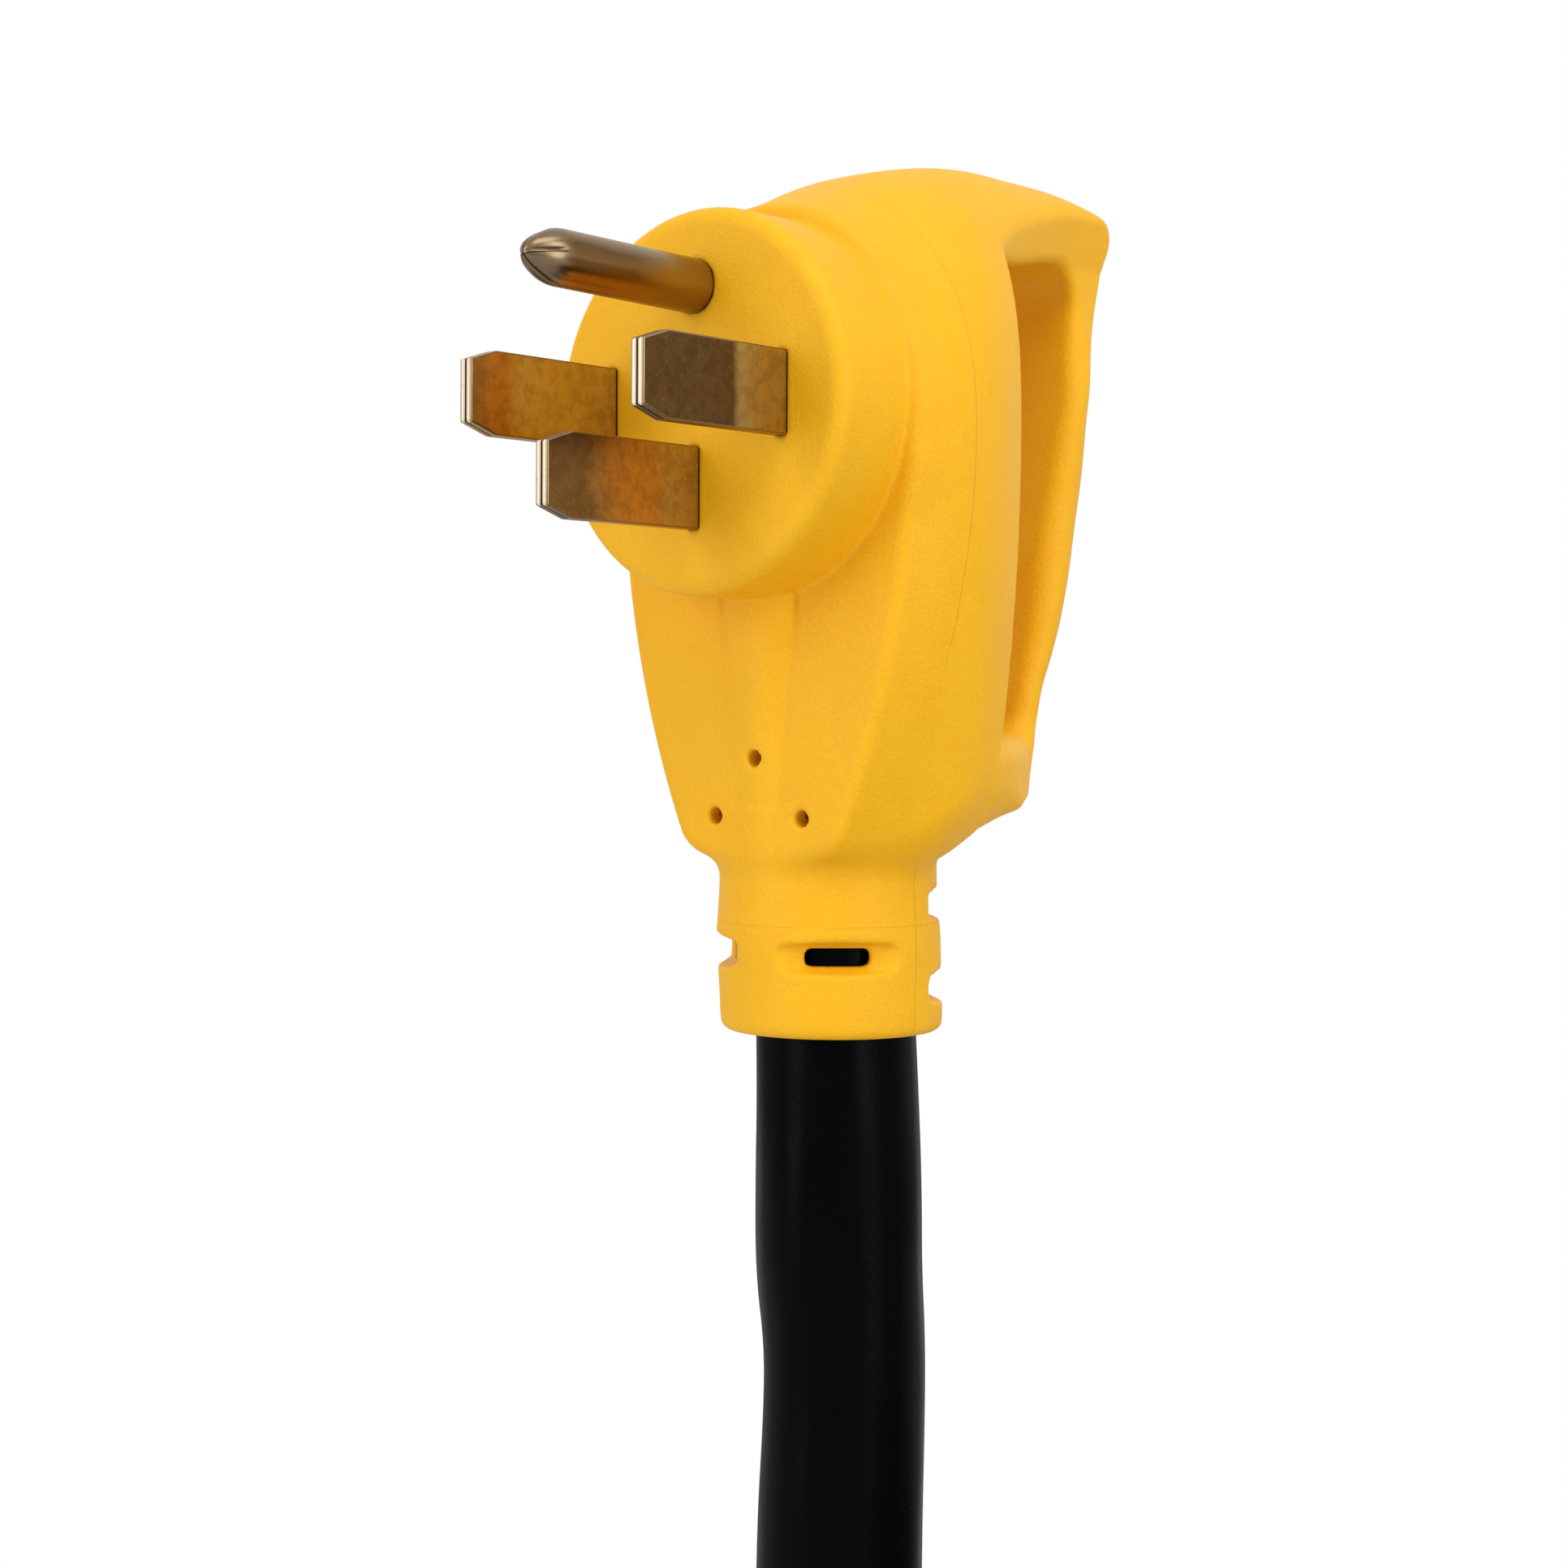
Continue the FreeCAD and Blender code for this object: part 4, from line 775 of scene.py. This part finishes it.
class SHORE_OT_contacts(bpy.types.Operator):
    """The three blades and the ground pin"""
    bl_idname = "shore.contacts"
    bl_label = "Contacts"

    def execute(self, context):
        olive, brown, gold = (0.12, 0.058, 0.016), (0.34, 0.21, 0.075), (0.56, 0.40, 0.11)
        orange, grey = (0.54, 0.27, 0.05), tuple(colours().brass)
        blades = (("blade_x", (15.4, -6), (17.8, 6), "brass_dull", 0.05,
                   ((0, olive), (0.61, olive), (0.66, (0.38, 0.26, 0.075)), (1, (0.46, 0.33, 0.10)))),
                  ("blade_y", (-17.8, -6), (-15.4, 6), "brass_bright", 0.4,
                   ((0, brown), (0.13, orange), (0.22, (0.52, 0.25, 0.04)), (0.36, gold), (1, gold))),
                  ("blade_neutral", (-1.2, -18.5), (1.2, -6.5), "brass_dull", 0.3,
                   ((0, (0.19, 0.10, 0.03)), (0.22, (0.20, 0.11, 0.032)), (0.38, (0.44, 0.22, 0.05)),
                    (0.58, orange), (0.80, grey), (1, (0.48, 0.33, 0.10)))))
        for node, low, high, slot, wander, stops in blades:
            tip = -30.3 if node == "blade_neutral" else -29.0
            blade = new_piece(node + "_leaves", self.blade(node, low, high, tip), None)
            blade.data.materials.append(self.tarnished("metal_" + node, wander, stops))
            blade.data.materials.append(self.edge_wear_and_painted_light("edge_" + node, (low[0] + high[0]) / 2))
            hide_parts(node)
        pin = new_piece("round_pin", self.pin(), self.pin_metal())
        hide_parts("ground_pin")
        return {"FINISHED"}

    @staticmethod
    def blade(name, low, high, tip):
        """Two leaves lying together, with a tapered tip and rounded edges, which are the second finish."""
        (x0, z0), (x1, z1) = low, high
        middle = (x0 + x1) / 2
        shoulder, taper, edge = tip + 4.9, 1.6, 0.26
        outline = ((CONTACT_REAR, z0), (shoulder, z0), (tip, z0 + taper), (tip, z1 - taper), (shoulder, z1),
                   (CONTACT_REAR, z1))
        bm = bmesh.new()
        for near, far in ((x0, middle), (middle, x1)):
            sides = [[bm.verts.new(Vector((x, y, z)) * MM) for y, z in outline] for x in (near, far)]
            bm.faces.new(sides[0])
            bm.faces.new(sides[1][::-1])
            for i in range(len(outline)):
                j = (i + 1) % len(outline)
                bm.faces.new((sides[0][i], sides[1][i], sides[1][j], sides[0][j]))
        bmesh.ops.recalc_face_normals(bm, faces=bm.faces)
        made = bmesh.ops.bevel(bm, geom=bm.edges[:], offset=edge * MM, segments=3, profile=0.5,
                               affect="EDGES")
        for face in made["faces"]:
            face.material_index = 1
            face.smooth = True
        for face in bm.faces:
            if face.calc_center_median().y < (tip + 0.05) * MM:
                face.material_index = 1
        mesh = bpy.data.meshes.new(name)
        bm.to_mesh(mesh)
        bm.free()
        return mesh

    @staticmethod
    def pin():
        """A round pin whose blunt tip is gathered in four creases."""
        profile = [(-33.8, 0.12), (-33.7, 0.6), (-33.3, 1.3), (-32.7, 1.9), (-31.9, 2.45), (-31, 2.95),
                   (-30, 3.4), (-29.1, 3.7), (-28.2, 3.88), (-27.3, 3.95), (-20, 3.95), (-10, 3.95),
                   (-0.2, 3.95), (0.1, 3.45), (CONTACT_REAR, 3.45)]
        count = 144
        angles = np.arange(count) * 2 * math.pi / count
        crease = np.abs((angles / (math.pi / 2) - 0.1 + 0.5) % 1 - 0.5) * math.pi / 2
        rings = []
        for y, radius in profile:
            arc = crease * max(radius, 1)
            depth = eased(y, -27.8, -30.5) * (0.34 * np.exp(-(arc / 0.16) ** 2)
                                              + 0.22 * np.exp(-(arc / 0.7) ** 2))
            out = radius - depth * min(radius / 2, 1)
            lift = PIN_HEIGHT - 0.014 * min(y, 0)
            rings.append(ring_round(0, y, lift, angles, out))
        return ringed("round_pin", rings)

    @staticmethod
    def tarnished(name, wander, stops):
        """Plated brass, darkened in bands from the tip to the face, with spots and fine scratches."""
        f = Finish(name, Metallic=1.0)
        y = f.place()[1]
        cloud = f.noise(6, 4, 0.62)
        along = (y + 29) / 29 + (cloud - 0.5) * wander
        speck = f.noise(0.55, 4, 0.75, seed=2)
        smear = f.noise(1.8, 4, 0.7, seed=5)
        base = f.ramp(along.clear(), *stops)
        base = f.mix(smear.rise(0.42, 0.62) * 0.55, base, (0.6, 0.6, 0.6), "MULTIPLY")
        base = f.mix(speck.rise(0.60, 0.72) * 0.28, base, (0.62, 0.42, 0.20))
        # Darker at the root, where the blade enters the face: painted shade.
        f.set(Base_Color=f.mix(y.rise(-0.3, -0.05), base, (0.05, 0.028, 0.01)))
        scratch = f.noise(0.5, 2, 0.6, stretch=(1, 0.08, 1), seed=9)
        f.set(Roughness=0.22 + 0.16 * cloud + 0.10 * scratch)
        f.bump(speck * 0.5 + scratch * 0.5, 0.012, 0.7)
        return f.material

    @staticmethod
    def edge_wear_and_painted_light(name, middle):
        """Rounded edges of the leaves: bright at the tip, partly rubbed metal and partly a painted
        highlight; brown beside it; dark where they meet, as painted shade in the fold.
        """
        f = Finish(name, Metallic=1.0)
        x, y, z = f.place()
        cloud = f.noise(2.2, 4, 0.7)
        tip = (y + (cloud - 0.5) * 4).rise(-25.5, -27.5)
        leaf = abs(x - middle)
        # Bright across the tip ends of the leaves: partly rubbed metal, partly a painted highlight.
        base = f.mix(tip * leaf.line(0.58, 0.46), (0.30, 0.20, 0.10), (0.92, 0.84, 0.68))
        # Dark where the two leaves meet: painted shade in the fold between them.
        base = f.mix(leaf.rise(0.22, 0.06), base, (0.05, 0.03, 0.015))
        base = f.mix(cloud.rise(0.56, 0.70) * 0.35, base, (0.55, 0.46, 0.36), "MULTIPLY")
        f.set(Base_Color=base, Roughness=0.20 + 0.12 * cloud)
        f.bump(f.noise(0.6, 4, 0.7), 0.008, 0.7)
        return f.material

    @staticmethod
    def pin_metal():
        """Tinned brass, grey brown above, an orange streak below, golden near the face; the change with
        height is partly painted shading.
        """
        f = Finish("pin_metal", Metallic=1.0)
        x, y, z = f.place()
        cloud = f.noise(6, 4, 0.62, stretch=(1, 0.4, 1))
        # Both ramps follow the height round the pin: partly tarnish, partly painted shading; the lighter
        # stop near the top is a painted highlight.
        up = z - PIN_HEIGHT + (cloud - 0.5) * 2.5
        share = (up * 0.125 + 0.5).clear()
        shade = f.ramp(share, (0.05, (0.34, 0.16, 0.04)), (0.24, (0.38, 0.18, 0.035)),
                       (0.36, (0.16, 0.085, 0.028)), (0.50, (0.20, 0.11, 0.036)),
                       (0.72, (0.13, 0.068, 0.024)), (0.86, (0.22, 0.14, 0.065)))
        golden = (y + (cloud - 0.5) * 12).rise(-17, -6)
        base = f.mix(golden, shade, f.ramp(share, (0.1, (0.26, 0.15, 0.035)), (0.45, (0.38, 0.26, 0.07)),
                                           (0.8, (0.28, 0.19, 0.07))))
        tip = (y + (cloud - 0.5) * 3).rise(-27.5, -30)
        base = f.mix(tip, base, (0.20, 0.14, 0.08))
        a = 0.1 * math.pi / 2
        across = x * math.cos(a) + (z - PIN_HEIGHT) * math.sin(a)
        along = (z - PIN_HEIGHT) * math.cos(a) - x * math.sin(a)
        # Dark lines in the tip's creases: painted shade.
        crease = across.line(0, 0.17).most(along.line(0, 0.17)) * y.rise(-28.3, -29.4)
        # Dark ring where the pin meets the face: painted shade.
        root_painted_shade = y.rise(-0.35, -0.05) * 0.45
        f.set(Base_Color=f.mix(crease.most(root_painted_shade), base, (0.03, 0.016, 0.006)))
        speck = f.noise(0.5, 4, 0.7, seed=2)
        f.set(Roughness=0.20 + 0.18 * cloud)
        f.bump(speck, 0.012, 0.7)
        return f.material


class SHORE_OT_connector(bpy.types.Operator):
    """The connector at the cord's other end: its shell with the strain relief, and what is on it"""
    bl_idname = "shore.connector"
    bl_label = "Connector"

    def execute(self, context):
        black = plain("black_nylon", (0.012, 0.012, 0.013), 0.42, shine=0.16)
        shell = new_piece("connector_shell", self.shell(), bpy.data.materials["yellow_cover"])
        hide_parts("connector_body", "connector_strain_relief")
        for name in ("connector_face", "lock_ring"):
            dress(name, black)
        dress("face_seal", plain("grey_rubber", (0.035, 0.035, 0.036), 0.6, shine=0.2))
        dress("ring_clip", plain("spring_steel", (0.5, 0.5, 0.52), 0.3, 1.0))
        return {"FINISHED"}

    @staticmethod
    def shell():
        """Turned outline with softened edges, grooves at the cord and finger hollows round the cone."""
        corners = [(-119, 13.05, 0.3), (-119, 16.5, 1.2)]
        for groove in range(3):
            start, radius = -114.2 + 6 * groove, 16.5 + 0.45 * groove
            corners += [(start, radius, 0.7), (start + 0.4, radius - 1.25, 0.5),
                        (start + 2.8, radius - 1.2, 0.5), (start + 3.2, radius + 0.15, 0.7)]
        corners += [(-96, 17.7, 30), (-82.5, 18, 20), (-52, 30.2, 12), (-30.1, 30.45, 0), (-29.9, 29.4, 0),
                    (-28.3, 29.4, 0), (-28.1, 30.4, 0), (-7.8, 30.45, 0.2), (-7.6, 32.9, 0.5),
                    (-0.05, 32.9, 0.5), (-0.05, 27.1, 0.3), (-42, 27.1, 0), (-72, 13.05, 0)]
        outline = rounded_corners(corners)
        count, hollows = 128, 8
        angles = np.arange(count) * 2 * math.pi / count
        x0, y0, z0 = FACE / MM
        rings = []
        for y, radius in outline:
            finger = 1.5 * eased(y, -83, -72) * eased(y, -53, -64) * (radius > 16 + 0.43 * (y + 77))
            out = radius - finger * (0.5 + 0.5 * np.cos(hollows * angles)) ** 1.5
            rings.append(ring_round(x0, y0 + y, z0, angles, out))
        return ringed("connector_shell", rings, hollow=True)


class SHORE_OT_inner(bpy.types.Operator):
    """Finishes of the pieces inside the plug and the connector"""
    bl_idname = "shore.inner"
    bl_label = "Inner pieces"

    def execute(self, context):
        brass = plain("bright_brass", (0.72, 0.56, 0.28), 0.28, 1.0)
        copper = plain("copper_strands", (0.75, 0.36, 0.2), 0.35, 1.0)
        wires = {"x": plain("black_wire", (0.02, 0.02, 0.02), 0.4),
                 "y": plain("red_wire", (0.5, 0.02, 0.02), 0.4),
                 "neutral": plain("white_wire", (0.8, 0.8, 0.78), 0.4),
                 "ground": plain("green_wire", (0.03, 0.3, 0.08), 0.4)}
        moulding = plain("inner_moulding", (0.07, 0.07, 0.07), 0.5)
        for side, wire in wires.items():
            dress("wire_" + side, wire)
            dress("tail_wire_" + side, wire)
            dress("crimp_" + side, brass)
            dress("socket_" + side, brass)
            dress("strands_" + side, copper)
        for name in ("plug_core", "contact_carrier", "connector_core"):
            dress(name, moulding)
        for name in ("cord_entry", "connector_cord_end"):
            dress(name, bpy.data.materials["black_jacket"])
        return {"FINISHED"}


class SHORE_PT_panel(bpy.types.Panel):
    """Sizes, colours and the steps of the build"""
    bl_label = "Shore power cord"
    bl_idname = "SHORE_PT_panel"
    bl_space_type = "VIEW_3D"
    bl_region_type = "UI"
    bl_category = "Shore cord"

    def draw(self, context):
        for group in (context.scene.shore_sizes, context.scene.shore_colours):
            for key in group.__annotations__:
                self.layout.prop(group, key)
        for step in steps:
            self.layout.operator(step.bl_idname)


steps = (SHORE_OT_stage, SHORE_OT_plug, SHORE_OT_contacts, SHORE_OT_connector, SHORE_OT_cord,
         SHORE_OT_inner)
classes = (CordSizes, CordColours) + steps + (SHORE_PT_panel,)


def register():
    for cls in classes:
        bpy.utils.register_class(cls)
    bpy.types.Scene.shore_sizes = bpy.props.PointerProperty(type=CordSizes)
    bpy.types.Scene.shore_colours = bpy.props.PointerProperty(type=CordColours)


def unregister():
    del bpy.types.Scene.shore_colours
    del bpy.types.Scene.shore_sizes
    for cls in reversed(classes):
        bpy.utils.unregister_class(cls)


def main():
    register()
    for step in steps:
        group, name = step.bl_idname.split(".")
        getattr(getattr(bpy.ops, group), name)()


if __name__ == "__main__":
    main()
